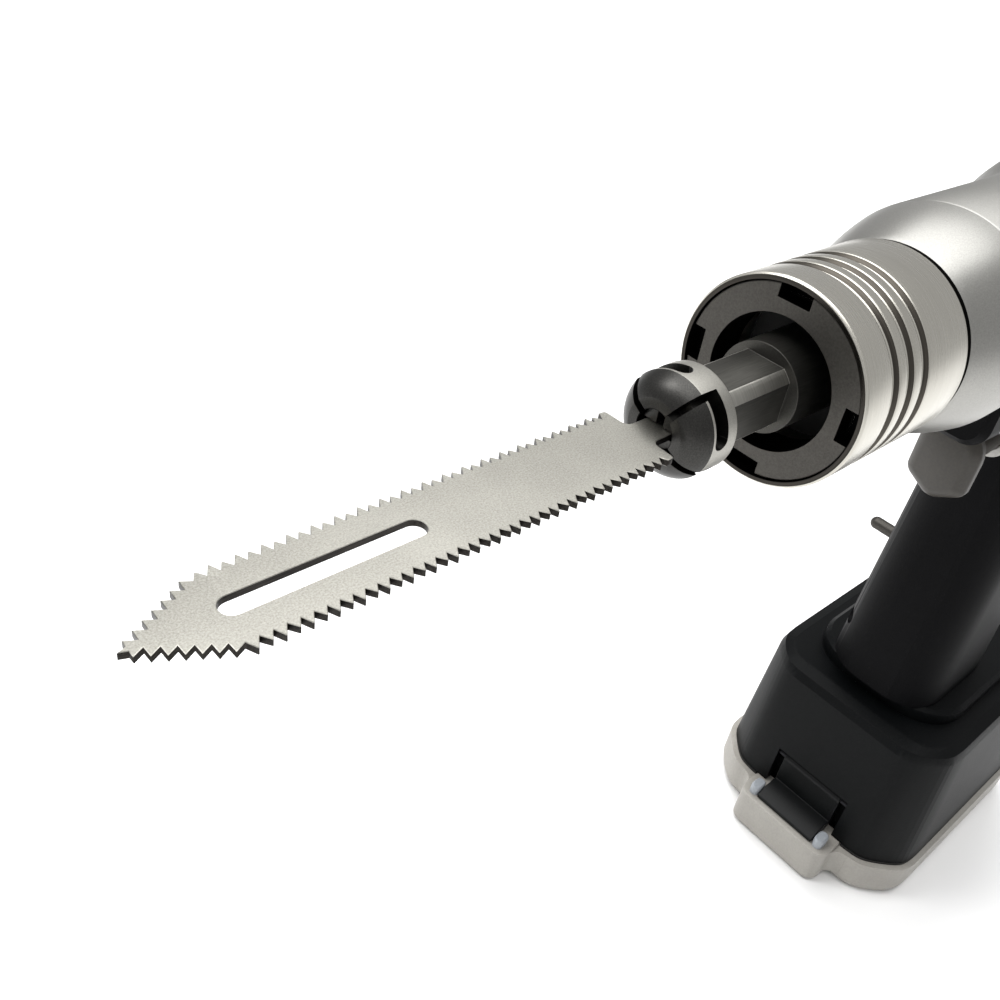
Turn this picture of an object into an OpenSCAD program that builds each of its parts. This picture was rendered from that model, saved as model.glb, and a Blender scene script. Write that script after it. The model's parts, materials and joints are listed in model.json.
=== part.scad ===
// Battery sternum saw: reciprocating two-edged blade, quick chuck, ribbed collar,
// barrel with bevel drive and motor, pistol grip, battery foot with a hinged base lid.
// Units are millimetres. Stations run along the tool axis from the collar's front face,
// positive towards the rear. The part stands on its base lid at z = 0.

/* [Layout] */
// Height of the tool axis above the base
axis_h = 205; // [190:1:225]
// Distance from the collar's front face back to the middle of the base
base_station = 152; // [148:1:156]

/* [Blade] */
// Number of teeth on each straight edge
edge_teeth = 39; // [30:1:39]
// Number of teeth on each slanted tip edge
tip_teeth = 7; // [5:1:7]
// Spacing of the teeth
tooth_pitch = 1.5; // [1.3:0.05:1.6]
// Height of a tooth above its gullet
tooth_h = 1.2; // [0.8:0.05:1.4]
// Width of the blade over its teeth
blade_w = 12.5; // [12:0.1:13.5]
// Thickness of the blade
blade_t = 1; // [0.8:0.05:1.1]
// Length of the plain shoulder behind the last tooth
shoulder_len = 1.8; // [1.4:0.1:2]
// Width of the blade's neck where it enters the chuck
neck_w = 4.6; // [4:0.1:5]
// Width of the blade's long slot
slot_w = 3; // [2:0.1:3.6]
// Length of the blade's long slot
slot_len = 25; // [15:0.5:30]

/* [Chuck] */
// Outside diameter of the chuck sleeve
sleeve_d = 15.4; // [15:0.1:17]
// Length of the chuck sleeve
sleeve_len = 8; // [7.6:0.1:9]
// Diameter of the sleeve's front opening
sleeve_mouth_d = 6; // [5.8:0.1:6.4]
// Depth of the domed nose of the sleeve
sleeve_dome = 3; // [2.4:0.1:3.2]
// Width of the sleeve's radial slots
sleeve_slot_w = 1.1; // [0.8:0.05:1.4]
// Axial width of the sleeve's curved slots
sleeve_arc_w = 2.1; // [1.6:0.1:2.3]
// Angle that each curved slot runs round the sleeve
sleeve_arc_angle = 57; // [40:1:62]
// Gap between blade and the slot that holds it
blade_slot_gap = 0.1; // [0.05:0.01:0.15]

/* [Drive shaft] */
// Diameter of the drive shaft
shaft_d = 14; // [13.6:0.1:14.2]
// Width across the four flats of the shaft
shaft_flats = 10.7; // [10.4:0.1:11.6]
// Full stroke of the blade
stroke = 3.5; // [2.5:0.1:3.6]
// Radial running clearance of shafts in bushes
run_gap = 0.05; // [0.03:0.01:0.08]

/* [Collar] */
// Outside diameter of the ribbed collar
collar_d = 32.7; // [32:0.1:33.4]
// Length of the ribbed collar
collar_len = 28.4; // [27:0.1:29]
// Outside diameter of the notched ring nut
nut_d = 30.4; // [30:0.1:30.6]
// Bore of the notched ring nut
nut_bore = 21.2; // [20.6:0.1:21.6]
// Width of a spanner notch in the ring nut
notch_w = 5.4; // [4:0.1:6]
// Depth of a spanner notch in the ring nut
notch_depth = 2.4; // [1.5:0.1:2.8]
// Number of grip grooves round the collar
groove_count = 3; // [1:1:3]
// Spacing of the grip grooves
groove_pitch = 4.1; // [3:0.1:4.3]
// Radius of a grip groove
groove_r = 1.15; // [0.8:0.05:1.3]

/* [Barrel] */
// Diameter of the barrel behind the nose
barrel_d = 40; // [39:0.2:41]
// Diameter of the barrel round the motor
motor_barrel_d = 47; // [45:0.5:49]
// Bore of the front of the barrel
barrel_bore = 36.8; // [36.6:0.1:37]
// Length of the domed nose
nose_len = 15; // [14:0.5:16]
// Length of the barrel from the nose to the rear cap
barrel_len = 116; // [114:1:122]
// Length of the rear cap
cap_len = 17; // [14:1:22]

/* [Gear drive] */
// Number of teeth on the bevel pinion
pinion_teeth = 12; // [12:1:12]
// Number of teeth on the crown wheel
wheel_teeth = 36; // [36:1:36]
// Module of the gears at their outer end
gear_module = 0.7; // [0.66:0.01:0.7]
// Radial width of the crown wheel's teeth
face_w = 3.8; // [3:0.1:4]
// Diameter of the roller on the crank pin
roller_d = 4; // [3.6:0.1:4.2]
// Clearance of the roller in the yoke slot on each side
yoke_gap = 0.45; // [0.42:0.01:0.5]

/* [Motor] */
// Outside diameter of the motor can
motor_d = 34; // [32:0.5:35]
// Length of the motor can
motor_len = 54; // [50:1:56]
// Diameter of the motor shaft
motor_shaft_d = 3.2; // [3:0.1:3.4]

/* [Grip] */
// Width of the grip at its foot
grip_w = 34; // [32:0.5:36]
// Depth of the grip from front to rear
grip_depth = 47; // [46:1:52]
// Wall of the grip shells
grip_wall = 2.6; // [2.2:0.1:3]
// Width of the saddle under the barrel
saddle_w = 28; // [26:0.5:30]

/* [Trigger] */
// Width of the trigger paddle
paddle_w = 15; // [13:0.5:17]
// Height of the trigger paddle
paddle_h = 20.4; // [18:0.1:24]
// Travel of the trigger
trigger_travel = 6; // [4:0.5:6.5]
// Diameter of the trigger's stem
stem_d = 6.4; // [5:0.1:6.8]
// Diameter of the safety pin
safety_d = 3.8; // [2.6:0.1:4]
// Travel of the safety pin
safety_travel = 6; // [4:0.5:6.5]

/* [Battery foot] */
// Length of the battery case
case_len = 88; // [88:1:94]
// Width of the battery case at its open bottom
case_w = 68; // [67:0.5:72]
// Height of the battery case
case_h = 48.7; // [48:0.1:50]
// Wall of the battery case
case_wall = 2.6; // [2.2:0.1:3]
// Height of the base lid
lid_h = 13; // [12:0.5:13.5]
// Wall of the base lid
lid_wall = 3; // [2.5:0.1:3.4]
// Distance that the lid's front block stands out
bump_out = 10; // [8:0.5:12]
// Width of the lid's front block
bump_w = 33; // [30:0.5:36]
// Width of the latch tongue
latch_w = 21; // [16:0.5:22]
// Diameter of a battery cell
cell_d = 18.2; // [17:0.1:18.4]
// Length of a battery cell
cell_len = 65; // [60:1:66]

/* [Hidden] */

// Shared clearances and the overrun of a cut
cut = 1;
seat_gap = 0.3;
fit_gap = 0.1;
edge_break = 0.4;
slice = 0.2;
round_fn = 96;
hull_fn = 32;

front_x = -base_station;

// Blade stations, from the chuck forward to the nose tooth
sleeve_front = -25;
sleeve_rear = sleeve_front + sleeve_len;
neck_len = 2.9;
blade_rear = sleeve_front - neck_len;
last_gullet = blade_rear - shoulder_len;
blade_half = blade_w / 2;
gullet_half = blade_half - tooth_h;
first_gullet = last_gullet - edge_teeth * tooth_pitch;
tip_angle = 30;
nose_gullet = 0.35;
nose_tooth = 0.95;
neck_half = neck_w / 2;
tang_back = 1.2;
tang_end = sleeve_rear - tang_back;
corner_r = 0.7;
neck_flare = 1;
tooth_land = 0.12;

// Holder, sleeve and clip
spigot_d = 10.4;
lip_len = 2.8;
prong_recess = 0.9;
stub_d = 6;
stub_len = 8;
clip_t = 0.8;
clip_back = 1;
clip_grip = 0.6;
mouth_land = 1.6;
arc_set_back = 0.7;
slot_turn = 33;

// Drive shaft and yoke
flats_end = -2.5;
crank_r = stroke / 2;
pinion_r = gear_module * pinion_teeth / 2;
wheel_r = gear_module * wheel_teeth / 2;
crank_station = 74;
wheel_clear = 2;
round_end = crank_station - wheel_r - crank_r - wheel_clear;
yoke_wall = 2;
yoke_slot_r = roller_d / 2 + yoke_gap;
yoke_half = yoke_slot_r + yoke_wall;
yoke_low = -1.8;
yoke_high = 5;
yoke_w = 13;

// Collar, ring nut and nose
nut_recess = 0.3;
nut_t = 2.7;
nut_skirt_t = 1.1;
nut_skirt_len = 4;
tube_bore = nut_bore + 2 * nut_skirt_t + fit_gap;
tube_wall = 1.5;
tube_d = tube_bore + 2 * tube_wall;
washer_t = 0.3;
washer_band = 1.2;
nose_front = collar_len + washer_t + 2 * fit_gap;
nose_front_d = 34;
nose_end = nose_front + nose_len;
nose_wall = 3;
seal_station = 12;
seal_t = 2;
bush_len = 12;
groove_first = 7.4;

// Barrel, frame and cap
flare_start = 76;
flare_end = 92;
barrel_front = nose_end + fit_gap;
barrel_end = barrel_front + barrel_len;
barrel_wall = 2;
motor_bore = motor_barrel_d - 2 * barrel_wall;
spigot_len = 5;
frame_front = nose_end + spigot_len + cut;
frame_wall = 8;
frame_d = barrel_bore - fit_gap;
frame_back = 88;
frame_back_t = 4;
frame_floor = -10.2;
frame_floor_w = 18;
rear_bush_d = 19;
keel_front_station = 70;
keel_rear_station = 104;
keel_stations = [keel_front_station, keel_rear_station];
keel_len = 8;
keel_w = 8;
keel_front_drop = 3.5;
keel_rear_drop = 1.7;
keel_under = 2.5;
keel_pin_z = [-barrel_d / 2 - keel_front_drop, -motor_barrel_d / 2 - keel_rear_drop];
cap_edge = 7;
cap_plate = 4;
cap_spigot_len = 9;
cap_spigot_wall = 4;
seal_d = 1.6;
seal_back = 7;
cap_bolt_back = 3.2;
cap_bolt_d = 3;
cap_bolt_turns = [60, 180, 300];

// Crank wheel and bearing
wheel_back = -8;
disc_top = -5.6;
axle_d = 6;
axle_low = -16;
bearing_d = 13;
bearing_t = 4;
race_t = 1.3;
shield_sink = 0.4;
pin_d = 2.4;
pin_top = 4.6;
roller_low = -1.9;
roller_high = 4.4;
tooth_up = 0.85 * gear_module;
tooth_down = 1.05 * gear_module;
inner_share = (wheel_r - face_w) / wheel_r;
pinion_big = crank_station + wheel_r;
hub_d = 6;
hub_len = 1.2;

// Motor
motor_front = frame_back + frame_back_t;
motor_rear = motor_front + motor_len;
motor_wall = 1.4;
magnet_t = 2.2;
magnet_angle = 140;
air_gap = 0.6;
core_d = motor_d - 2 * (motor_wall + magnet_t + air_gap);
core_inset = 7;
core_len = motor_len - 2 * core_inset;
core_slots = 7;
core_slot_w = 2.4;
core_slot_depth = 5;
commutator_d = 10;
commutator_len = 4;
bell_len = 8;
boss_d = 9;
boss_len = 3;
motor_bolt_r = 11;
motor_bolt_turns = [50, 230];
motor_screw_d = 2.6;
screw_head_d = 5;
screw_head_t = 1.6;
shaft_past = 4;

// Grip
grip_front = 115;
grip_rear = grip_front + grip_depth;
grip_top = -14;
grip_waist = -72;
boss_h = 5;
seal_h = 1;
grip_foot = lid_h + seal_h + seat_gap + case_h + boss_h - axis_h;
top_draw = 3;
waist_draw = 4;
grip_top_w = grip_w - top_draw;
grip_waist_w = grip_w - waist_draw;
grip_corner = 13;
cavity_top = -38;
foot_floor = 8;
wire_station = 134;
wire_hole_d = 8;
saddle_front = 62;
saddle_back = 2;
saddle_rear = barrel_end - saddle_back;
saddle_nose_low = -27;
saddle_low = -35;
saddle_round = 5;
saddle_bevel = 1.5;
rivet_d = 2;
grip_screw_d = 3;
grip_head_d = 5.4;
grip_head_t = 2;
grip_boss_d = 7;
grip_seat = 10.5;
grip_screw_end = 9;
screw_front_in = 7;
screw_rear_in = 8;
top_screw_in = 12;
top_screw_z = -31;
mid_screw_z = -66;
foot_screw_up = 13;
grip_screw_places = [
    [grip_rear - top_screw_in, top_screw_z],
    [grip_front + screw_front_in, mid_screw_z],
    [grip_rear - screw_rear_in, grip_foot + foot_screw_up],
    [grip_front + screw_front_in, grip_foot + foot_screw_up]
];

// Trigger and switch
paddle_front = 88;
paddle_t = 4;
paddle_mid = -46.2;
paddle_toe_d = 8;
paddle_corner_d = 6.4;
paddle_chin = 2.4;
paddle_crown = 1.4;
paddle_bevel = 1.2;
stem_z = -48;
stem_end = 126;
nib_d = 3;
nib_len = 6;
bush_flange_d = 10.4;
bush_flange_t = 2;
bush_body_d = 8.8;
bush_body_len = 9;
spring_wire = 0.6;
spring_d = 4.6;
spring_turns = 5;
spring_room = 4;
switch_front = stem_end + trigger_travel + spring_room;
switch_len = 20;
switch_w = 16;
switch_low = -57;
switch_high = -40;
plunger_hole_d = 4.2;
plunger_depth = 4;

// Safety pin and control board
safety_station = 139;
safety_up = 34;
safety_z = grip_foot + safety_up;
safety_tip = 27;
safety_inner = 2.5;
safety_stop_d = 6;
safety_stop_t = 1.2;
safety_stop_y = 11.7;
board_t = 1.6;
board_y = -6;
board_front = 134;
board_len = 23;
board_top = -62;
board_low = grip_foot + foot_screw_up + grip_boss_d / 2 + cut;
board_h = board_top - board_low;
chip_out = 2.2;

// Battery foot, measured up from the base
case_front = base_station - case_len / 2;
case_rear = base_station + case_len / 2;
case_bottom = lid_h + seal_h + seat_gap;
case_roof = case_bottom + case_h;
case_taper = 3;
case_corner = 11;
case_edge = 4;
boss_set_back = 11;
boss_w = 46;
boss_corner = 14;
boss_edge = 1.2;
lid_lip = 1.5;
lid_edge = 3;
pack_low = lid_wall + seat_gap;
pack_h = 43;
pack_wall = 1.2;
pack_rib = 0.4;
cell_pitch = cell_d + pack_rib;
pack_w = 3 * cell_d + 2 * (pack_rib + pack_wall);
pack_end = 4;
pack_len = cell_len + 2 * pack_end;
pack_corner = 4;
pack_mid = pack_low + pack_h / 2;
cell_rise = cell_d / 2 + pack_wall;
contact_y = 8;
contact_w = 5;
contact_t = 0.6;
contact_len = 16;
contact_station = 176;
contact_block_h = 7;
case_screw_d = 4;
case_screw_head_d = 7;
case_screw_head_t = 3;
case_screw_y = 9;
case_screw_in = 11;
case_screw_back = 12;
case_screw_stations = [grip_front + case_screw_in, grip_rear - case_screw_back];
hinge_back = 5;
hinge_up = 1;
hinge_station = case_rear + hinge_back;
knuckle_r = 3;
knuckle_w = 8;
hinge_inner = 10;
hinge_z = case_bottom + hinge_up;
hinge_pin_d = 3;
recess_w = 26;
recess_h = 16;
recess_depth = 4.2;
bump_corner = 4;
block_top = lid_h + seal_h;
latch_t = 2.5;
latch_in = 0.4;
latch_pin_d = 1.8;
latch_barrel_r = 1.7;
latch_down = 2.7;
latch_back = 2;
latch_z = case_bottom + recess_h - latch_down;
latch_station = case_front + latch_back;
latch_lip = 8.2;
latch_lip_t = 3.2;
nib_w = 12;
nib_t = 1.4;
nib_down = 2.6;
nib_front = 3.8;
nib_room = 4;
latch_swing_room = 4;
lug_w = 3.2;
lug_h = 3.4;
lug_len = 7;
lug_front = 1.6;
leaf_w = 6;
leaf_t = 0.4;

// A place on the tool axis: local z runs to the rear, local x points down
module on_axis(station = 0)
    translate([front_x + station, 0, axis_h]) rotate([0, 90, 0]) children();

// A turned piece from [radius, station] points
module turned(points) on_axis() rotate_extrude($fn = round_fn) polygon(points);

// A round bar or hole along the tool axis, dropped and set aside if asked
module bar(from, to, d, drop = 0, aside = 0)
    on_axis(from) translate([drop, aside, 0]) cylinder(h = to - from, d = d, $fn = round_fn);

// A plain ring along the tool axis
module ring(from, to, outer, inner)
    turned([[inner / 2, from], [outer / 2, from], [outer / 2, to], [inner / 2, to]]);

// A block between two stations, centred across, between two heights from the axis
module block(from, to, width, low, high)
    translate([front_x + from, -width / 2, axis_h + low])
        cube([to - from, width, high - low]);

// A plate with round corners, lying flat, between two stations
module plate(from, to, width, r, z, t = slice)
    for (x = [from + r, to - r], y = [-width / 2 + r, width / 2 - r])
        translate([front_x + x, y, z]) cylinder(h = t, r = r, $fn = hull_fn);

// A round-cornered outline in plan, exact
module plate_outline(from, to, width, r) {
    translate([front_x + from + r, -width / 2]) square([to - from - 2 * r, width]);
    translate([front_x + from, -width / 2 + r]) square([to - from, width - 2 * r]);
    for (x = [from + r, to - r], y = [-width / 2 + r, width / 2 - r])
        translate([front_x + x, y]) circle(r = r, $fn = hull_fn);
}

// A pin lying across the tool
module cross_pin(station, z, y0, y1, d)
    translate([front_x + station, y0, axis_h + z]) rotate([-90, 0, 0])
        cylinder(h = y1 - y0, d = d, $fn = round_fn);

// A coil spring as one unbroken tube, six sides, eight rings a turn
module coil(length, radius, wire, turns) {
    rings = turns * 8;
    sides = 6;
    points = [for (i = [0:rings], j = [0:sides - 1])
        let (a = 45 * i, b = 60 * j, r = radius + wire * cos(b) / 2)
        [r * cos(a), r * sin(a), wire / 2 + (length - wire) * i / rings + wire * sin(b) / 2]];
    walls = [for (i = [0:rings - 1], j = [0:sides - 1])
        let (k = (j + 1) % sides, a = i * sides, b = a + sides)
        each [[a + j, a + k, b + k], [a + j, b + k, b + j]]];
    caps = [[for (j = [sides - 1:-1:0]) j], [for (j = [0:sides - 1]) rings * sides + j]];
    polyhedron(points, concat(walls, caps), convexity = 4);
}

// One side of the blade from the nose to the tang; side is 1 or -1
function tip_gullet(j, side) =
    let (back = (tip_teeth - j) * tooth_pitch)
    [first_gullet - back * cos(tip_angle),
     side * max(nose_gullet, gullet_half - back * sin(tip_angle))];
function tip_point(j, side) =
    let (back = (tip_teeth - j - 0.5) * tooth_pitch)
    [first_gullet - back * cos(tip_angle) - tooth_h * sin(tip_angle),
     side * (gullet_half - back * sin(tip_angle) + tooth_h * cos(tip_angle))];
function tip_edge(side) =
    [for (j = [0:tip_teeth - 1], k = [0, 1]) k == 0 ? tip_gullet(j, side) : tip_point(j, side)];
function straight_edge(side) =
    [for (i = [0:edge_teeth - 1], k = [0, 1, 2])
        let (start = first_gullet + i * tooth_pitch)
        k == 0 ? [start, side * gullet_half]
        : [start + (tooth_pitch + (k == 1 ? -tooth_land : tooth_land)) / 2, side * blade_half]];
function shoulder(side) = concat(
    [[last_gullet, side * gullet_half], [last_gullet + tooth_pitch / 4, side * blade_half]],
    [for (a = [90:-30:0])
        [blade_rear + corner_r * (cos(a) - 1), side * (blade_half + corner_r * (sin(a) - 1))]],
    [for (a = [0:30:90])
        [blade_rear + neck_flare * (1 - cos(a)), side * (neck_half + neck_flare * (1 - sin(a)))]],
    [[tang_end, side * neck_half]]);
function half_outline(side) = concat(tip_edge(side), straight_edge(side), shoulder(side));
function reversed(list) = [for (i = [len(list) - 1:-1:0]) list[i]];

module saw_blade() color("lightgray")
    translate([front_x, 0, axis_h - blade_t / 2]) linear_extrude(blade_t) difference() {
        polygon(concat([[tip_gullet(0, 1)[0] - nose_tooth, 0]],
            half_outline(1), reversed(half_outline(-1))));
        slot_front = first_gullet + slot_w / 2;
        slot_run = slot_len - slot_w;
        translate([slot_front, -slot_w / 2]) square([slot_run, slot_w]);
        for (x = [slot_front, slot_front + slot_run])
            translate([x, 0]) circle(d = slot_w, $fn = round_fn);
    }

// Domed nose with four radial slots that each turn into a curved slot on the band
module chuck_sleeve() color("dimgray") difference() {
    r = sleeve_d / 2;
    land_r = sleeve_mouth_d / 2 + mouth_land;
    bore_r = spigot_d / 2 + run_gap;
    turned(concat(
        [[sleeve_mouth_d / 2, sleeve_front]],
        [for (a = [0:10:90])
            [land_r + (r - land_r) * sin(a), sleeve_front + sleeve_dome * (1 - cos(a))]],
        [[r, sleeve_rear - edge_break], [r - edge_break, sleeve_rear],
         [bore_r, sleeve_rear], [bore_r, sleeve_front + lip_len],
         [sleeve_mouth_d / 2, sleeve_front + lip_len]]));
    arc_start = sleeve_front + sleeve_dome + arc_set_back;
    for (k = [0:3]) on_axis() rotate([0, 0, slot_turn + 90 * k]) {
        translate([0, -sleeve_slot_w / 2, sleeve_front - cut])
            cube([r + cut, sleeve_slot_w, arc_start + sleeve_arc_w - sleeve_front + cut]);
        translate([0, 0, arc_start]) rotate_extrude(angle = sleeve_arc_angle, $fn = round_fn)
            translate([bore_r - cut, 0]) square([r - bore_r + 2 * cut, sleeve_arc_w]);
    }
    ring(sleeve_rear - clip_back - clip_t - fit_gap, sleeve_rear - clip_back + fit_gap,
        spigot_d + 2 * clip_grip + 2 * fit_gap, spigot_d - cut);
}

// Open ring that keeps the sleeve on the holder's flange
module sleeve_clip() color("silver") difference() {
    ring(sleeve_rear - clip_back - clip_t, sleeve_rear - clip_back,
        spigot_d + 2 * clip_grip, spigot_d - 2 * clip_grip);
    on_axis(sleeve_rear - clip_back - clip_t - cut) translate([0, -clip_t, 0])
        cube([spigot_d, 2 * clip_t, clip_t + 2 * cut]);
}

// Holder with four prongs: the blade's tang sits in one of two crossed slots
module blade_holder() color("dimgray") difference() {
    slot = blade_t + 2 * blade_slot_gap;
    flange_front = sleeve_front + lip_len + 2 * fit_gap;
    union() {
        bar(sleeve_front + prong_recess, flange_front + fit_gap, sleeve_mouth_d - 4 * run_gap);
        bar(flange_front, sleeve_rear, spigot_d);
        bar(sleeve_rear, sleeve_rear + stub_len, stub_d);
    }
    for (turn = [0, 90]) on_axis(sleeve_front - cut) rotate([0, 0, turn])
        translate([-slot / 2, -neck_half - fit_gap, 0])
            cube([slot, neck_w + 2 * fit_gap, tang_end + fit_gap - sleeve_front + cut]);
    for (turn = [0, 90]) on_axis(sleeve_front - cut) rotate([0, 0, turn])
        translate([-slot / 2, -spigot_d / 2, 0])
            cube([slot, spigot_d, flange_front - sleeve_front + cut]);
    ring(sleeve_rear - clip_back - clip_t - fit_gap, sleeve_rear - clip_back + fit_gap,
        spigot_d + cut, spigot_d - 2 * clip_grip - 2 * fit_gap);
}

// Round shaft with four milled flats in front and a flat yoke tail behind
module drive_shaft() color("dimgray") difference() {
    union() {
        bar(flats_end, round_end, shaft_d);
        intersection() {
            bar(sleeve_rear + fit_gap, flats_end, shaft_d);
            block(sleeve_rear, flats_end + cut, shaft_flats, -shaft_flats / 2, shaft_flats / 2);
        }
        intersection() {
            bar(round_end - cut, crank_station + yoke_half, shaft_d);
            block(round_end - cut, crank_station + yoke_half, yoke_w, yoke_low, yoke_high);
        }
    }
    bar(sleeve_rear - cut, sleeve_rear + stub_len + fit_gap, stub_d);
    block(crank_station - yoke_slot_r, crank_station + yoke_slot_r, 2 * crank_r,
        yoke_low - cut, yoke_high + cut);
    for (y = [-crank_r, crank_r]) translate([front_x + crank_station, y, axis_h + yoke_low - cut])
        cylinder(h = yoke_high - yoke_low + 2 * cut, r = yoke_slot_r, $fn = round_fn);
}

// Ribbed collar that turns on the nose tube, with a pocket for the ring nut
module guide_collar() color("silver") {
    r = collar_d / 2;
    pocket_r = nut_d / 2 + fit_gap;
    bore_r = tube_d / 2 + run_gap;
    pocket_end = nut_recess + nut_t + fit_gap;
    sink = groove_r / 2;
    reach = sqrt(pow(groove_r, 2) - pow(groove_r - sink, 2));
    turned(concat(
        [[pocket_r, 0], [r - edge_break, 0], [r, edge_break]],
        [for (g = [0:groove_count - 1], k = [-2:2])
            let (share = k / 2, mid = groove_first + g * groove_pitch)
            [r - sqrt(pow(groove_r, 2) - pow(reach * share, 2)) + groove_r - sink,
             mid + reach * share]],
        [[r, collar_len - edge_break], [r - edge_break, collar_len],
         [bore_r, collar_len], [bore_r, pocket_end], [pocket_r, pocket_end]]));
}

// Ring nut with four spanner notches; its skirt screws into the nose tube
module ring_nut() color("gray") difference() {
    skirt_end = nut_recess + nut_t + nut_skirt_len;
    turned([[nut_bore / 2, nut_recess], [nut_d / 2 - edge_break / 2, nut_recess],
        [nut_d / 2, nut_recess + edge_break / 2], [nut_d / 2, nut_recess + nut_t],
        [tube_bore / 2, nut_recess + nut_t], [tube_bore / 2, skirt_end],
        [nut_bore / 2, skirt_end]]);
    for (turn = [0:90:270]) on_axis(nut_recess - cut) rotate([0, 0, turn])
        translate([nut_d / 2 - notch_depth, -notch_w / 2, 0])
            cube([notch_depth + cut, notch_w, nut_t + 2 * cut]);
}

// Wave washer behind the collar
module collar_spring() color("black")
    ring(collar_len + fit_gap, nose_front - fit_gap, tube_d + 2 * washer_band, tube_d + 2 * fit_gap);

// Domed nose with the front tube that carries the collar and the bush
module nose_housing() color("silver") {
    back_r = barrel_d / 2;
    front_r = nose_front_d / 2;
    rise = [for (a = [0:15:90])
        [front_r + (back_r - front_r) * sin(a), nose_front + edge_break + (nose_len - edge_break) * a / 90]];
    tube_front = nut_recess + nut_t + fit_gap;
    bush_end = seal_station + seal_t + bush_len;
    turned(concat(
        [[tube_bore / 2, tube_front], [tube_d / 2, tube_front], [tube_d / 2, nose_front],
         [front_r - edge_break, nose_front]],
        rise,
        [[frame_d / 2, nose_end], [frame_d / 2, nose_end + spigot_len],
         [frame_d / 2 - nose_wall, nose_end + spigot_len],
         [frame_d / 2 - nose_wall, nose_front + nose_wall + cut],
         [tube_bore / 2 + nose_wall, nose_front + nose_wall],
         [shaft_d / 2 + cut, nose_front + nose_wall],
         [shaft_d / 2 + cut, bush_end + fit_gap], [tube_bore / 2, bush_end + fit_gap]]));
}

// Rubber wiper round the shaft
module front_seal() color("black")
    turned([[shaft_d / 2 + run_gap, seal_station + seal_t / 2], [tube_bore / 2, seal_station],
        [tube_bore / 2, seal_station + seal_t], [shaft_d / 2 + run_gap, seal_station + seal_t]]);

module front_bush() color("peru")
    ring(seal_station + seal_t, seal_station + seal_t + bush_len, tube_bore, shaft_d + 2 * run_gap);

module rear_bush() color("peru")
    ring(frame_front, frame_front + frame_wall, rear_bush_d, shaft_d + 2 * run_gap);

// Radii and stations of the flare between the gear end and the motor end
function barrel_mid_r(side) = (barrel_d + motor_barrel_d) / 4 + side * (motor_barrel_d - barrel_d) / 6;
function flare_quarter(k) = flare_start + k * (flare_end - flare_start) / 4;

// Aluminium barrel, flared from the gear end to the motor end, with two keels for the grip
module main_barrel() color("silver") difference() {
    union() {
        difference() {
            for (i = [0, 1])
                block(keel_stations[i] - keel_len / 2, keel_stations[i] + keel_len / 2, keel_w,
                    keel_pin_z[i] - keel_under, -barrel_d / 2 + cut);
            barrel_core();
        }
        barrel_shell();
    }
    for (i = [0, 1]) cross_pin(keel_stations[i], keel_pin_z[i], -keel_w, keel_w, rivet_d);
    wire_way();
    cap_bolt_holes(cap_bolt_d, motor_bore / 2 - cap_spigot_wall, motor_barrel_d);
}

module barrel_core() {
    bar(barrel_front, motor_front, barrel_bore);
    bar(motor_front, barrel_end, motor_bore);
}

module barrel_shell()
    turned([[barrel_bore / 2, barrel_front], [barrel_d / 2 - edge_break / 2, barrel_front],
        [barrel_d / 2, barrel_front + edge_break], [barrel_d / 2, flare_start],
        [barrel_mid_r(-1), flare_quarter(1)], [barrel_mid_r(1), flare_quarter(3)],
        [motor_barrel_d / 2, flare_end], [motor_barrel_d / 2, barrel_end],
        [motor_bore / 2, barrel_end], [motor_bore / 2, motor_front],
        [barrel_bore / 2, motor_front]]);

// Round way for the leads from the grip into the barrel
module wire_way()
    translate([front_x + wire_station, 0, axis_h - motor_barrel_d])
        cylinder(h = motor_barrel_d - barrel_d / 4, d = wire_hole_d, $fn = round_fn);

// Cast frame: front wall with the rear bush, floor with the crank bearing, wall for the motor
module gear_frame() color("lightsteelblue") difference() {
    intersection() {
        bar(frame_front, motor_front, frame_d);
        union() {
            block(frame_front, frame_front + frame_wall, frame_d + cut, -frame_d, frame_d);
            block(frame_front, motor_front, frame_floor_w, -frame_d, frame_floor);
            block(frame_back, motor_front, frame_d + cut, -frame_d, frame_d);
        }
    }
    bar(frame_front - cut, frame_front + frame_wall + cut, rear_bush_d);
    bar(frame_back - cut, motor_front + cut, boss_d + 2 * fit_gap);
    crank_hole(bearing_d, frame_floor - bearing_t, frame_floor + cut);
    crank_hole(axle_d + 2 * cut, -frame_d, frame_floor);
    motor_bolts(motor_screw_d, frame_back - cut, motor_front + cut);
}

module crank_hole(d, low, high)
    translate([front_x + crank_station, 0, axis_h + low])
        cylinder(h = high - low, d = d, $fn = round_fn);

module motor_bolts(d, from, to)
    for (turn = motor_bolt_turns) on_axis(from) rotate([0, 0, turn])
        translate([motor_bolt_r, 0, 0]) cylinder(h = to - from, d = d, $fn = round_fn);

module frame_screws() color("silver") {
    motor_bolts(motor_screw_d - fit_gap, frame_back - fit_gap, motor_front + motor_wall);
    motor_bolts(screw_head_d, frame_back - fit_gap - screw_head_t, frame_back - fit_gap);
}

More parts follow.
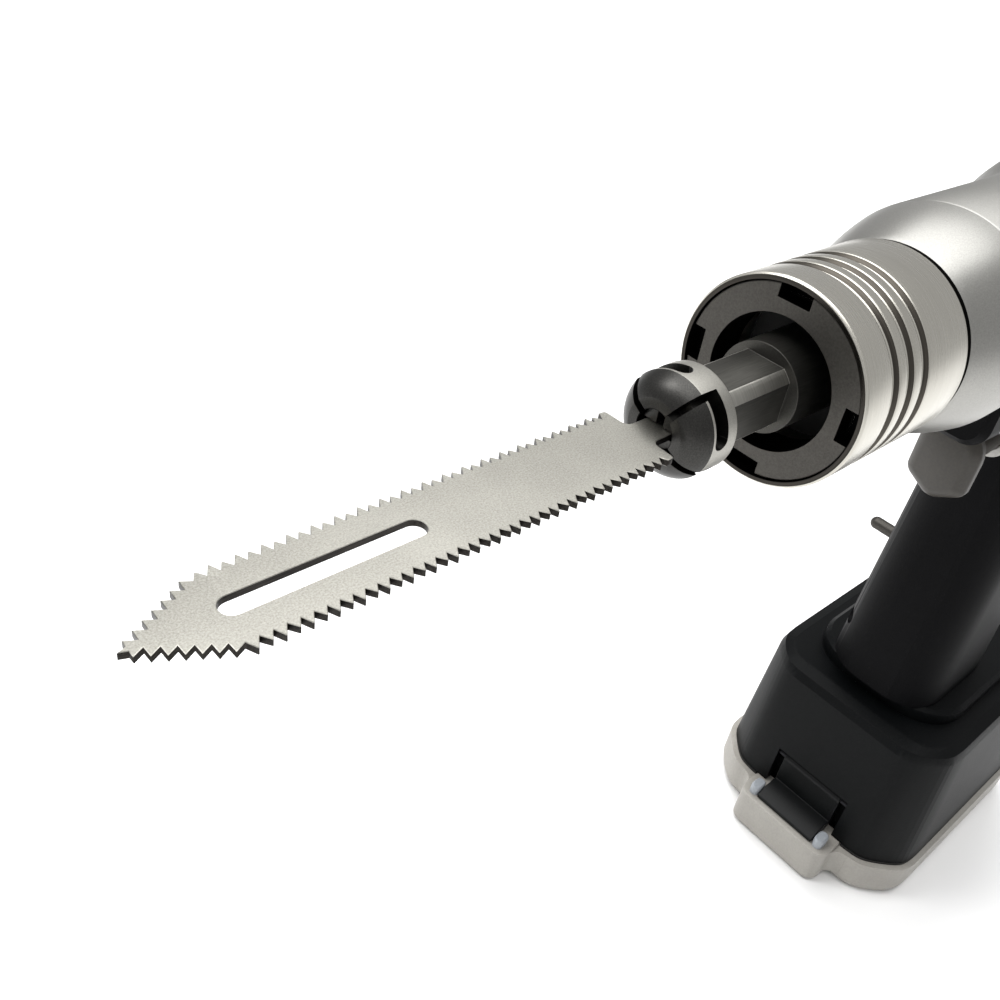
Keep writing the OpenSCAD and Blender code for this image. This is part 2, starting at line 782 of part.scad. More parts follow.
// Crown wheel teeth as one ring of radial ridges; heights follow the cone to the gear apex
module crown_teeth() {
    per = 4;
    count = wheel_teeth * per;
    step = 360 / wheel_teeth;
    top_share = 0.22;
    root_share = 0.66;
    edges = [-root_share / 2, -top_share / 2, top_share / 2, root_share / 2];
    radii = [wheel_r * inner_share, wheel_r];
    lift = [-tooth_down, tooth_up, tooth_up, -tooth_down];
    cone = pinion_r / wheel_r;
    points = [for (i = [0:count - 1])
        let (k = i % per, a = step * (floor(i / per) + edges[k]))
        each [for (q = [[0, 1], [1, 1], [1, 0], [0, 0]])
            let (r = radii[q[0]], z = -r * cone + lift[k] * r / wheel_r)
            [r * cos(a), r * sin(a), q[1] == 1 ? z : wheel_back]]];
    faces = [for (i = [0:count - 1], q = [0:3])
        let (n = (i + 1) % count, m = (q + 1) % 4)
        [i * 4 + q, n * 4 + q, n * 4 + m, i * 4 + m]];
    polyhedron(points, faces, convexity = 8);
}

// Crown wheel with its crank pin and axle; the pin starts at the side of the shaft
module crank_gear() color("slategray") translate([front_x + crank_station, 0, axis_h]) {
    crown_teeth();
    translate([0, 0, wheel_back])
        cylinder(h = disc_top - wheel_back, r = wheel_r * inner_share + fit_gap, $fn = round_fn);
    translate([0, 0, axle_low]) cylinder(h = wheel_back - axle_low, d = axle_d, $fn = round_fn);
    translate([0, -crank_r, disc_top]) cylinder(h = pin_top - disc_top, d = pin_d, $fn = round_fn);
    translate([0, -crank_r, disc_top]) cylinder(h = roller_low - disc_top, d = roller_d, $fn = round_fn);
}

// Roller on the crank pin, inside the yoke slot
module crank_roller() color("goldenrod")
    translate([front_x + crank_station, -crank_r, axis_h + roller_low]) difference() {
        cylinder(h = roller_high - roller_low, d = roller_d, $fn = round_fn);
        translate([0, 0, -cut]) cylinder(h = roller_high - roller_low + 2 * cut, d = pin_d, $fn = round_fn);
    }

// Shielded bearing in the frame's floor
module crank_bearing() color("silver")
    translate([front_x + crank_station, 0, axis_h + frame_floor - bearing_t]) rotate_extrude($fn = round_fn)
        polygon([[axle_d / 2 + run_gap, 0], [bearing_d / 2, 0], [bearing_d / 2, bearing_t],
            [bearing_d / 2 - race_t, bearing_t], [bearing_d / 2 - race_t, bearing_t - shield_sink],
            [axle_d / 2 + race_t, bearing_t - shield_sink], [axle_d / 2 + race_t, bearing_t],
            [axle_d / 2 + run_gap, bearing_t]]);

// Tapered pinion: the outline shrinks towards the gear apex at the crank
module bevel_pinion() color("slategray") difference() {
    step = 360 / pinion_teeth;
    half_shares = [0.3, 0.215, 0.1];
    rise_shares = [-tooth_down, 0, tooth_up];
    outline = [for (i = [0:pinion_teeth - 1], k = [0:5])
        let (m = k < 3 ? k : 5 - k, s = k < 3 ? -1 : 1,
             a = step * (i + 0.5 + s * half_shares[m]), r = pinion_r + rise_shares[m])
        [r * cos(a), r * sin(a)]];
    union() {
        on_axis(pinion_big) mirror([0, 0, 1]) linear_extrude(face_w, scale = inner_share) polygon(outline);
        bar(pinion_big, pinion_big + hub_len, hub_d);
    }
    bar(pinion_big - face_w - cut, pinion_big + hub_len + cut, motor_shaft_d);
}

// Rotor shaft, from the pinion to the end bell
module rotor_shaft() color("silver")
    bar(pinion_big - face_w, motor_rear + shaft_past, motor_shaft_d);

// Slotted iron core with its commutator
module rotor_core() color("peru") {
    core_front = motor_front + core_inset;
    difference() {
        bar(core_front, core_front + core_len, core_d);
        for (k = [0:core_slots - 1]) on_axis(core_front - cut) rotate([0, 0, 360 * k / core_slots])
            translate([core_d / 2 - core_slot_depth, -core_slot_w / 2, 0])
                cube([core_slot_depth + cut, core_slot_w, core_len + 2 * cut]);
        bar(core_front - cut, core_front + core_len + cut, motor_shaft_d);
    }
    ring(core_front + core_len, core_front + core_len + commutator_len, commutator_d, motor_shaft_d);
}

// Two magnet shells inside the can
module motor_magnets() color("dimgray")
    for (turn = [0, 180]) on_axis(motor_front + core_inset)
        rotate([0, 0, turn - magnet_angle / 2]) rotate_extrude(angle = magnet_angle, $fn = round_fn)
            translate([motor_d / 2 - motor_wall - magnet_t, 0]) square([magnet_t, core_len]);

// Drawn motor can with the front bearing boss
module motor_can() color("silver") difference() {
    union() {
        bar(motor_front, motor_rear, motor_d);
        bar(motor_front - boss_len, motor_front, boss_d);
    }
    bar(motor_front + motor_wall, motor_rear + cut, motor_d - 2 * motor_wall);
    bar(motor_front - boss_len - cut, motor_rear, motor_shaft_d + 2 * run_gap);
    motor_bolts(motor_screw_d, motor_front - cut, motor_front + motor_wall + cut);
}

// End bell with the rear bearing and brush housing
module motor_end_bell() color("black") difference() {
    union() {
        bar(motor_rear, motor_rear + bell_len / 2, motor_d);
        bar(motor_rear + bell_len / 2, motor_rear + bell_len, motor_d / 2);
    }
    bar(motor_rear - cut, motor_rear + bell_len - motor_wall, motor_shaft_d + 2 * run_gap);
}

// Rounded rear cap with a spigot inside the barrel
module rear_cap() color("silver") difference() {
    cap_r = motor_barrel_d / 2;
    cap_rear = barrel_end + cap_len;
    spigot_r = motor_bore / 2 - fit_gap / 2;
    inner_r = spigot_r - cap_spigot_wall;
    groove = barrel_end - seal_back;
    turned(concat(
        [[inner_r, barrel_end - cap_spigot_len], [spigot_r, barrel_end - cap_spigot_len],
         [spigot_r, groove - seal_d / 2], [spigot_r - seal_d, groove - seal_d / 2],
         [spigot_r - seal_d, groove + seal_d / 2], [spigot_r, groove + seal_d / 2],
         [spigot_r, barrel_end + fit_gap], [cap_r, barrel_end + fit_gap],
         [cap_r, cap_rear - cap_edge]],
        [for (a = [15:15:90])
            [cap_r - cap_edge * (1 - cos(a)), cap_rear - cap_edge * (1 - sin(a))]],
        [[0, cap_rear], [0, cap_rear - cap_plate], [inner_r - cap_edge, cap_rear - cap_plate],
         [inner_r, cap_rear - cap_edge - cap_plate]]));
    cap_bolt_holes(cap_bolt_d, inner_r - cut, cap_r);
}

module cap_bolt_holes(d, from, to)
    for (turn = cap_bolt_turns) on_axis(barrel_end - cap_bolt_back) rotate([0, 90, turn])
        translate([0, 0, from]) cylinder(h = to - from, d = d, $fn = round_fn);

// Rubber ring in the cap's groove
module cap_seal() color("black") {
    r = motor_bore / 2 - fit_gap / 2 - seal_d / 2;
    turned([for (a = [0:30:330])
        [r + seal_d / 2 * cos(a), barrel_end - seal_back + seal_d / 2 * sin(a)]]);
}

// Three radial screws that hold the cap in the barrel
module cap_screws() color("dimgray")
    cap_bolt_holes(cap_bolt_d - fit_gap, motor_bore / 2 - cap_spigot_wall, motor_barrel_d / 2 - edge_break);

// Outside of the grip: column in two tapers and the saddle under the barrel
module grip_outside() {
    hull() {
        plate(grip_front, grip_rear, grip_top_w, grip_corner, axis_h + grip_top);
        plate(grip_front, grip_rear, grip_waist_w, grip_corner, axis_h + grip_waist);
    }
    hull() {
        plate(grip_front, grip_rear, grip_waist_w, grip_corner, axis_h + grip_waist);
        plate(grip_front, grip_rear, grip_w, grip_corner, axis_h + grip_foot);
    }
    hull() for (side = [-1, 1], end = [[saddle_front, saddle_nose_low], [saddle_rear - saddle_bevel, saddle_low]])
        for (step = [0, saddle_bevel]) {
            r = saddle_round;
            inset = end[0] == saddle_front ? saddle_bevel - step : step;
            x = end[0] + step;
            y = side * (saddle_w / 2 - r);
            bar(x, x + slice, 2 * (r - inset), -end[1] - r, y);
            translate([front_x + x, y - (r - inset), axis_h + grip_top]) cube([slice, 2 * (r - inset), slice]);
        }
}

// Room inside the grip for the switch and the board
module grip_cavity() {
    r = grip_corner - grip_wall;
    front = grip_front + grip_wall;
    rear = grip_rear - grip_wall;
    waist_w = grip_waist_w - 2 * grip_wall;
    hull() {
        plate(front, rear, waist_w, r, axis_h + cavity_top);
        plate(front, rear, waist_w, r, axis_h + grip_waist);
    }
    hull() {
        plate(front, rear, waist_w, r, axis_h + grip_waist);
        plate(front, rear, grip_w - 2 * grip_wall, r, axis_h + grip_foot + foot_floor);
    }
}

// Half the grip's outer width at a height, which grows below the waist
function grip_half_w(z) = grip_waist_w / 2
    + max(0, grip_waist - z) / (grip_waist - grip_foot) * (grip_w - grip_waist_w) / 2;

// One half of the grip; side is 1 for left and -1 for right
module grip_half(side) difference() {
    union() {
        difference() {
            grip_outside();
            grip_cavity();
        }
        for (place = grip_screw_places) if (place[1] < cavity_top)
            cross_pin(place[0], place[1], -grip_screw_end - grip_wall, grip_screw_end + grip_wall, grip_boss_d);
        for (y = [-1, 1]) translate([front_x + switch_front + spring_room,
            y > 0 ? switch_w / 2 + fit_gap : -grip_waist_w / 2 + grip_wall / 2, axis_h + switch_low + spring_room])
            cube([switch_len / 2, (grip_waist_w - grip_wall - switch_w) / 2 - fit_gap, switch_len / 2]);
        for (z = [board_top - board_h / 6, board_top - 5 * board_h / 6])
            cross_pin(board_front + board_len / 2, z, -grip_half_w(z) + grip_wall / 2,
                board_y - board_t - fit_gap, grip_boss_d);
    }
    translate([front_x + saddle_front - cut, side > 0 ? -grip_w : 0, 0])
        cube([saddle_rear - saddle_front + grip_depth, grip_w, axis_h]);
    barrel_seat();
    wire_way();
    bar(grip_front - cut, grip_front + bush_body_len + cut, bush_body_d, -stem_z);
    for (place = grip_screw_places)
        cross_pin(place[0], place[1], -grip_screw_end, grip_w, grip_screw_d);
    for (place = grip_screw_places)
        cross_pin(place[0], place[1], grip_seat, grip_w, grip_head_d + fit_gap);
    for (i = [0, 1]) cross_pin(keel_stations[i], keel_pin_z[i], -saddle_w, saddle_w, rivet_d);
    case_screw_holes(case_screw_d, case_roof, case_roof + boss_h + foot_floor);
    if (side > 0) cross_pin(safety_station, safety_z, 0, grip_w, safety_d + 2 * run_gap);
}

// The barrel's outline with its keels, cut out of the grip
module barrel_seat() {
    turned([[0, saddle_front - cut], [barrel_d / 2 + fit_gap, saddle_front - cut],
        [barrel_d / 2 + fit_gap, flare_start], [barrel_mid_r(-1) + fit_gap, flare_quarter(1)],
        [barrel_mid_r(1) + fit_gap, flare_quarter(3)],
        [motor_barrel_d / 2 + fit_gap, flare_end], [motor_barrel_d / 2 + fit_gap, barrel_end + cap_len],
        [0, barrel_end + cap_len]]);
    for (i = [0, 1])
        block(keel_stations[i] - keel_len / 2 - fit_gap, keel_stations[i] + keel_len / 2 + fit_gap,
            keel_w + 2 * fit_gap, keel_pin_z[i] - keel_under - fit_gap, 0);
}

module grip_left() color("#232628") grip_half(1);
module grip_right() color("#232628") grip_half(-1);

// Pan head screws through the left half into the right
module grip_screws() color("dimgray") for (place = grip_screw_places) {
    cross_pin(place[0], place[1], cut - grip_screw_end, grip_seat, grip_screw_d - fit_gap);
    cross_pin(place[0], place[1], grip_seat, grip_seat + grip_head_t, grip_head_d);
}

// Pins through the saddle and the barrel's keels
module saddle_pins() color("silver") for (i = [0, 1])
    cross_pin(keel_stations[i], keel_pin_z[i], -saddle_w / 2 + seat_gap, saddle_w / 2 - seat_gap,
        rivet_d - fit_gap / 2);

// Crowned paddle on a round stem
module trigger() color("#8c8984") {
    hull() {
        paddle_plate(paddle_front, paddle_bevel + paddle_crown);
        paddle_plate(paddle_front + paddle_crown / 2, paddle_bevel);
        paddle_plate(paddle_front + paddle_crown / 2 + paddle_bevel, 0);
        paddle_plate(paddle_front + paddle_t - slice, 0);
    }
    bar(paddle_front + paddle_t - slice, stem_end, stem_d, -stem_z);
    bar(stem_end, stem_end + nib_len, nib_d, -stem_z);
}

// An upright slice of the paddle: round above, a blunt chin below, drawn in all round
module paddle_plate(station, inset) on_axis(station) {
    translate([-paddle_mid - (paddle_h - paddle_w) / 2, 0, 0])
        cylinder(h = slice, d = paddle_w - 2 * inset, $fn = hull_fn);
    translate([-paddle_mid + (paddle_h - paddle_toe_d) / 2, 0, 0])
        cylinder(h = slice, d = paddle_toe_d - 2 * inset, $fn = hull_fn);
    for (side = [-1, 1])
        translate([-paddle_mid + paddle_h / 2 - paddle_chin - paddle_corner_d / 2,
            side * (paddle_w - paddle_corner_d) / 2, 0])
            cylinder(h = slice, d = paddle_corner_d - 2 * inset, $fn = hull_fn);
}

module trigger_bush() color("lightgray") difference() {
    union() {
        bar(grip_front - bush_flange_t, grip_front, bush_flange_d, -stem_z);
        bar(grip_front, grip_front + bush_body_len, bush_body_d - fit_gap, -stem_z);
    }
    bar(grip_front - bush_flange_t - cut, grip_front + bush_body_len + cut, stem_d + 2 * run_gap, -stem_z);
}

module trigger_spring() color("silver")
    on_axis(stem_end + fit_gap) translate([-stem_z, 0, 0])
        coil(switch_front - stem_end - 2 * fit_gap, (spring_d - spring_wire) / 2, spring_wire, spring_turns);

// Sealed speed switch behind the trigger
module speed_switch() color("black") difference() {
    block(switch_front, switch_front + switch_len, switch_w, switch_low, switch_high);
    bar(switch_front - cut, switch_front + plunger_depth, plunger_hole_d, -stem_z);
}

// Push pin across the grip with an inner stop flange
module safety_pin() color("silver") {
    cross_pin(safety_station, safety_z, safety_inner, safety_tip - safety_d / 2, safety_d);
    translate([front_x + safety_station, safety_tip - safety_d / 2, axis_h + safety_z])
        sphere(d = safety_d, $fn = round_fn);
    cross_pin(safety_station, safety_z, safety_stop_y - safety_stop_t, safety_stop_y, safety_stop_d);
}

// Board with its power parts and the lock switch under the safety pin
module control_board() color("darkgreen") {
    translate([front_x + board_front, board_y - board_t, axis_h + board_top - board_h])
        cube([board_len, board_t, board_h]);
    for (z = [-1, 0, 1]) translate([front_x + safety_station - chip_out, board_y,
        axis_h + safety_z - chip_out + z * board_h / 5])
        cube([2 * chip_out, chip_out, 2 * chip_out]);
    for (z = [board_top - board_h / 4, board_top - 2 * board_h / 3])
        cross_pin(board_front + board_len - 2 * chip_out, z, board_y, board_y + 2 * chip_out, 3 * chip_out);
}

// Battery case: tapered box with a raised boss, open below, latch recess in front
module battery_case() color("#1d2022") {
    difference() {
        union() {
            hull() {
                plate(case_front, case_rear, case_w, case_corner, case_bottom);
                plate(case_front, case_rear, case_w - 2 * case_taper, case_corner, case_roof - case_edge);
                plate(case_front + case_edge / 4, case_rear - case_edge / 4,
                    case_w - 2 * case_taper - case_edge / 2, case_corner, case_roof - case_edge / 3);
                plate(case_front + case_edge, case_rear - case_edge,
                    case_w - 2 * case_taper - 2 * case_edge, case_corner - case_edge / 2, case_roof - slice);
            }
            hull() {
                plate(case_front + boss_set_back, case_rear - boss_set_back, boss_w, boss_corner, case_roof - cut);
                plate(case_front + boss_set_back, case_rear - boss_set_back, boss_w, boss_corner,
                    case_roof + boss_h - boss_edge);
                plate(case_front + boss_set_back + boss_edge, case_rear - boss_set_back - boss_edge,
                    boss_w - 2 * boss_edge, boss_corner - boss_edge, case_roof + boss_h - slice);
            }
            for (side = [-1, 1]) case_knuckle(side);
        }
        difference() {
            hull() {
                plate(case_front + case_wall, case_rear - case_wall, case_w - 2 * case_wall,
                    case_corner - case_wall, case_bottom - cut);
                plate(case_front + case_wall, case_rear - case_wall, case_w - 2 * case_wall - 2 * case_taper,
                    case_corner - case_wall, case_roof - case_wall - slice);
            }
            block_up(case_front - cut, case_front + recess_depth + case_wall, recess_w + 2 * case_wall,
                case_bottom - 2 * cut, case_bottom + recess_h + case_wall);
        }
        block_up(case_front - cut, case_front + recess_depth, recess_w, case_bottom - cut,
            case_bottom + recess_h);
        rod_across(latch_station, latch_z, recess_w / 2 + case_wall / 2, latch_pin_d);
        rod_across(hinge_station, hinge_z, hinge_inner + knuckle_w + cut, hinge_pin_d);
        case_screw_holes(case_screw_d, 0, case_roof + boss_h + cut);
        translate([front_x + wire_station, 0, case_roof - case_wall - cut])
            cylinder(h = boss_h + case_wall + 2 * cut, d = wire_hole_d, $fn = round_fn);
    }
}

// A block between two stations, centred across, between two heights from the base
module block_up(from, to, width, low, high)
    translate([front_x + from, -width / 2, low]) cube([to - from, width, high - low]);

// A rod lying across, centred, at a height from the base
module rod_across(station, z, half_w, d)
    translate([front_x + station, -half_w, z]) rotate([-90, 0, 0])
        cylinder(h = 2 * half_w, d = d, $fn = round_fn);

// Outer hinge knuckle on the case
module case_knuckle(side) {
    y = side > 0 ? hinge_inner : -hinge_inner - knuckle_w;
    translate([front_x + hinge_station, y, hinge_z]) rotate([-90, 0, 0])
        cylinder(h = knuckle_w, r = knuckle_r, $fn = round_fn);
    translate([front_x + case_rear - case_wall / 2, y, hinge_z - hinge_up])
        cube([hinge_back + case_wall / 2, knuckle_w, knuckle_r + hinge_up]);
}

module case_screw_holes(d, low, high)
    for (station = case_screw_stations, y = [-case_screw_y, case_screw_y])
        translate([front_x + station, y, low]) cylinder(h = high - low, d = d, $fn = round_fn);

// Screws from inside the case into the grip's foot
module case_screws() color("dimgray") {
    case_screw_holes(case_screw_d - fit_gap, case_roof - case_wall, case_roof + boss_h + foot_floor - cut);
    case_screw_holes(case_screw_head_d, case_roof - case_wall - case_screw_head_t, case_roof - case_wall);
}

// Contact block under the case's roof with two spring blades
module case_contacts() color("goldenrod") {
    top = case_roof - case_wall;
    block_up(contact_station, contact_station + contact_len / 2, 2 * contact_y + 2 * contact_w,
        top - contact_block_h, top);
    for (y = [-contact_y, contact_y]) translate([front_x, y - contact_w / 2, pack_low + pack_h])
        rotate([90, 0, 0]) mirror([0, 0, 1]) linear_extrude(contact_w) contact_blade(top - contact_block_h
            - pack_low - pack_h);
}

// Side view of a contact blade: down from the block, then back along the pack's strip
module contact_blade(height) {
    start = contact_station + contact_len / 4;
    foot = contact_t + seat_gap;
    polygon([[start, height], [start, foot + contact_t], [start - contact_len / 4, foot],
        [start - contact_len / 4, foot + contact_t], [start - contact_t, foot + 2 * contact_t],
        [start - contact_t, height]]);
}

// Strips on top of the pack
module pack_contacts() color("gold")
    for (y = [-contact_y, contact_y]) translate([front_x + contact_station - contact_len / 2,
        y - contact_w / 2, pack_low + pack_h]) cube([contact_len, contact_w, contact_t]);

// Half of the pack's box: round-cornered, with a trough for each cell
module pack_half(low, high, cell_z, open) difference() {
    translate([0, 0, low]) linear_extrude(high - low)
        plate_outline(base_station - pack_len / 2, base_station + pack_len / 2, pack_w, pack_corner);
    for (i = [-1:1]) {
        translate([-cell_len / 2 - fit_gap, i * cell_pitch, cell_z]) rotate([0, 90, 0])
            cylinder(h = cell_len + 2 * fit_gap, d = cell_d, $fn = round_fn);
        translate([-cell_len / 2 - fit_gap, i * cell_pitch - cell_d / 2, open > 0 ? cell_z : low - cut])
            cube([cell_len + 2 * fit_gap, cell_d, open > 0 ? high - cell_z + cut : cell_z - low + cut]);
    }
}

module pack_tray() color("#30343a") pack_half(pack_low, pack_mid, pack_low + cell_rise, 1);
module pack_cover() color("#30343a")
    pack_half(pack_mid, pack_low + pack_h, pack_low + pack_h - cell_rise, -1);

// Six cells lying lengthwise, each with its raised end
module battery_cells() color("steelblue")
    for (i = [-1:1], z = [pack_low + cell_rise, pack_low + pack_h - cell_rise])
        translate([-cell_len / 2, i * cell_pitch, z]) rotate([0, 90, 0]) {
            cylinder(h = cell_len - contact_t, d = cell_d - 2 * fit_gap, $fn = round_fn);
            cylinder(h = cell_len, d = cell_d / 3, $fn = round_fn);
        }

// Lid tray with a rounded lower edge, front block, latch lugs and the middle hinge knuckle
module base_lid() color("#b8b4ad") {
    front = case_front - lid_lip;
    rear = case_rear + lid_lip;
    width = case_w + 2 * lid_lip;
    corner = case_corner + lid_lip;
    difference() {
        union() {
            hull() {
                plate(front + lid_edge, rear - lid_edge, width - 2 * lid_edge, corner - lid_edge, 0);
                plate(front + lid_edge / 3, rear - lid_edge / 3, width - 2 * lid_edge / 3,
                    corner - lid_edge / 3, lid_edge / 3);
                plate(front, rear, width, corner, lid_edge);
                plate(front, rear, width, corner, lid_h - slice);
            }
            hull() {
                block_plate(lid_edge / 2, 0);
                block_plate(0, lid_edge / 2);
                block_plate(0, block_top - edge_break);
                block_plate(edge_break, block_top - slice);
            }
            for (side = [-1, 1]) latch_lug(side);
            translate([front_x + rear - lid_wall, -hinge_inner + seat_gap, lid_h / 2])
                cube([hinge_station - rear + lid_wall, 2 * (hinge_inner - seat_gap), lid_h / 2]);
            rod_across(hinge_station, hinge_z, hinge_inner - seat_gap, 2 * knuckle_r);
        }
        translate([0, 0, lid_wall]) linear_extrude(block_top + cut - lid_wall)
            plate_outline(front + lid_wall + lid_lip, rear - lid_wall, width - 2 * lid_wall, corner - lid_wall);
        rod_across(hinge_station, hinge_z, hinge_inner, hinge_pin_d + 2 * run_gap);
        nib_back = case_front - nib_front + nib_t + seat_gap;
        block_up(nib_back - nib_t - nib_room - seat_gap, nib_back, nib_w + 2 * seat_gap,
            block_top - nib_down - seat_gap, block_top + cut);
    }
}

// A slice of the lid's front block at a height from the base
module block_plate(inset, z)
    plate(case_front - bump_out + inset, case_front + lid_edge, bump_w - 2 * inset, bump_corner - inset, z);

// One of the two lugs that guide the latch tongue
module latch_lug(side) {
    y = side * (latch_w / 2 + seat_gap + lug_w / 2);
    hull() for (x = [lug_front + lug_w / 2, lug_len - lug_w / 2])
        for (step = [0, edge_break])
            translate([front_x + case_front - bump_out + x, y, block_top - cut])
                cylinder(h = lug_h + cut - edge_break + step, d = lug_w - 2 * step, $fn = hull_fn);
}

// Flat gasket round the lid's rim
module lid_seal() color("black") translate([0, 0, lid_h]) linear_extrude(seal_h) difference() {
    plate_outline(case_front, case_rear, case_w, case_corner);
    plate_outline(case_front + case_wall, case_rear - case_wall, case_w - 2 * case_wall,
        case_corner - case_wall);
    translate([front_x + case_front - bump_out, -bump_w / 2 - seat_gap])
        square([bump_out + lid_edge + seat_gap, bump_w + 2 * seat_gap]);
}

module hinge_pin() color("silver")
    rod_across(hinge_station, hinge_z, hinge_inner + knuckle_w, hinge_pin_d);

// Latch tongue: barrel on its pin, plate in the recess, lip over the front block, nib below
module latch_tongue() color("#121416") difference() {
    union() {
        rod_across(latch_station, latch_z, latch_w / 2, 2 * latch_barrel_r);
        translate([front_x, latch_w / 2, 0]) rotate([90, 0, 0]) linear_extrude(latch_w) polygon([
            [case_front + latch_in, latch_z],
            [case_front + latch_in, block_top + seat_gap + latch_lip_t + edge_break],
            [case_front - latch_lip + latch_lip_t, block_top + seat_gap + latch_lip_t],
            [case_front - latch_lip, block_top + seat_gap + latch_lip_t / 3],
            [case_front - latch_lip, block_top + seat_gap],
            [case_front + latch_in, block_top + seat_gap],
            [case_front + latch_in + latch_t, block_top + seat_gap + latch_t / 2],
            [case_front + latch_in + latch_t, latch_z]]);
        block_up(case_front - nib_front, case_front - nib_front + nib_t, nib_w,
            block_top - nib_down, block_top + seat_gap + edge_break);
    }
    rod_across(latch_station, latch_z, latch_w, latch_pin_d + 2 * run_gap);
}

module latch_pin() color("silver")
    rod_across(latch_station, latch_z, recess_w / 2 + case_wall / 2 - fit_gap, latch_pin_d);

// Bowed leaf between the recess and the tongue
module latch_spring() color("silver")
    translate([front_x + case_front + recess_depth, leaf_w / 2, case_bottom]) rotate([90, 0, 0])
        linear_extrude(leaf_w) {
            bow = recess_depth - latch_in - latch_t - seat_gap;
            low = recess_h / 4;
            run = recess_h / 2;
            polygon(concat(
                [for (a = [0:15:180]) [-bow * sin(a), low + run * a / 180]],
                [for (a = [180:-15:0]) [-max(0, bow * sin(a) - leaf_t), low + run * a / 180]]));
        }

saw_blade();
chuck_sleeve();
sleeve_clip();
blade_holder();
drive_shaft();
guide_collar();
ring_nut();
collar_spring();
nose_housing();
front_seal();
front_bush();
main_barrel();
gear_frame();
rear_bush();
crank_gear();
crank_roller();
crank_bearing();
bevel_pinion();
rotor_shaft();
rotor_core();
motor_magnets();
motor_can();
motor_end_bell();
frame_screws();
rear_cap();
cap_seal();
cap_screws();
grip_left();
grip_right();
grip_screws();
saddle_pins();
trigger();
trigger_bush();
trigger_spring();
speed_switch();
safety_pin();
control_board();
battery_case();
case_screws();
case_contacts();
pack_tray();
pack_cover();
battery_cells();
pack_contacts();
base_lid();
lid_seal();
hinge_pin();
latch_tongue();
latch_pin();
latch_spring();
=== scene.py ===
"""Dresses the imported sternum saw: finishes, detailed pieces, light, floor and camera.

Lengths are metres unless a name or docstring says millimetres. Stations are measured along
the tool axis from the collar's front face, positive towards the rear.
"""

from __future__ import annotations

import json
import logging
import math
from dataclasses import dataclass
from enum import Enum
from typing import Iterable, Sequence

import bmesh
import bpy
from mathutils import Matrix, Vector

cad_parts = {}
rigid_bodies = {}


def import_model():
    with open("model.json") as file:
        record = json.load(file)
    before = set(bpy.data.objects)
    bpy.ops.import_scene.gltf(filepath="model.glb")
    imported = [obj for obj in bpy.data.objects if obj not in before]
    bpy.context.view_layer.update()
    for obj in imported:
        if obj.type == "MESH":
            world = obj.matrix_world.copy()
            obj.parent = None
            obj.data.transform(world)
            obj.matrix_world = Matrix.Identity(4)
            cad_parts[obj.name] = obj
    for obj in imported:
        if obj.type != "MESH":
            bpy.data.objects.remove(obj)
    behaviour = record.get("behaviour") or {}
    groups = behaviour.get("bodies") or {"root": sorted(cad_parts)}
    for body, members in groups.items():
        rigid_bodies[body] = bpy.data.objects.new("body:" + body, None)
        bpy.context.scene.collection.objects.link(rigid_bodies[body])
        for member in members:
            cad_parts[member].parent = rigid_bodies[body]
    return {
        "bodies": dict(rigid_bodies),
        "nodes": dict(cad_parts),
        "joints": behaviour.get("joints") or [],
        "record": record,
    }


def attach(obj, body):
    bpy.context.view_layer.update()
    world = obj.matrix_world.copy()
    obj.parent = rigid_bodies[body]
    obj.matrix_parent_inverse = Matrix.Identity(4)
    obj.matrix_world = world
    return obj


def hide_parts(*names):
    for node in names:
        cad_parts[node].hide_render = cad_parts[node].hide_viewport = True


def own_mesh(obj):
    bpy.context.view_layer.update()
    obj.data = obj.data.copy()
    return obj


MM = 0.001
AXIS_HEIGHT = 205 * MM
COLLAR_FACE_X = -152 * MM
ROUND_STEPS = 160
# Corners closer than these, in metres, are one corner: in a spun mesh, in a boolean's and in the CAD copies
SPUN_MERGE = 1e-7
MESH_MERGE = 1e-6
COPY_MERGE = 2e-6
# Share of a profile's side that a fillet may take
FILLET_REACH = 0.49
# Noise factors between which the colours of metal, and of plastic and floor, change
METAL_STOPS = (0.32, 0.68)
PLASTIC_STOPS = (0.3, 0.7)
# Share of the wide cloud in the colour of plastic
PLASTIC_CLOUD = 0.55
# How far a lathe's rings and a grinder's strokes are drawn out
LATHE_SQUEEZE = 0.012
GROUND_STRETCH = (0.06, 1.0, 1.0)

log = logging.getLogger("sternum_saw")


def linear(code: str) -> tuple[float, float, float, float]:
    """Turns an sRGB hex colour into linear RGBA.

    Args:
        code: six hex digits, such as "8c8984".
    Returns:
        The colour as four linear channels, with alpha 1.
    """
    channels = [int(code[i:i + 2], 16) / 255 for i in (0, 2, 4)]
    flat = [c / 12.92 if c <= 0.04045 else ((c + 0.055) / 1.055) ** 2.4 for c in channels]
    return (flat[0], flat[1], flat[2], 1.0)


def at(station: float, y: float = 0.0, up: float = 0.0) -> Vector:
    """A point given by its station, side and height from the tool axis, all in millimetres."""
    return Vector((COLLAR_FACE_X + station * MM, y * MM, AXIS_HEIGHT + up * MM))


class Grain(Enum):
    """How a metal surface was made, which sets the direction of its pattern."""

    BLASTED = "blasted"
    TURNED = "turned"
    GROUND = "ground"


def add(tree: bpy.types.NodeTree, kind: str, links: dict[str, object] | None = None,
        **settings: object) -> bpy.types.Node:
    """Adds one shader node with its settings and links.

    Args:
        tree: the node tree that gets the node.
        kind: the node's type, such as "ShaderNodeTexNoise".
        links: input name or index to a value, or to the output socket that feeds it.
        settings: attributes of the node.
    Returns:
        The new node.
    """
    node = tree.nodes.new(kind)
    for name, value in settings.items():
        setattr(node, name, value)
    for key, value in (links or {}).items():
        socket = node.inputs[key]
        if isinstance(value, bpy.types.NodeSocket):
            tree.links.new(value, socket)
        else:
            socket.default_value = value
    return node


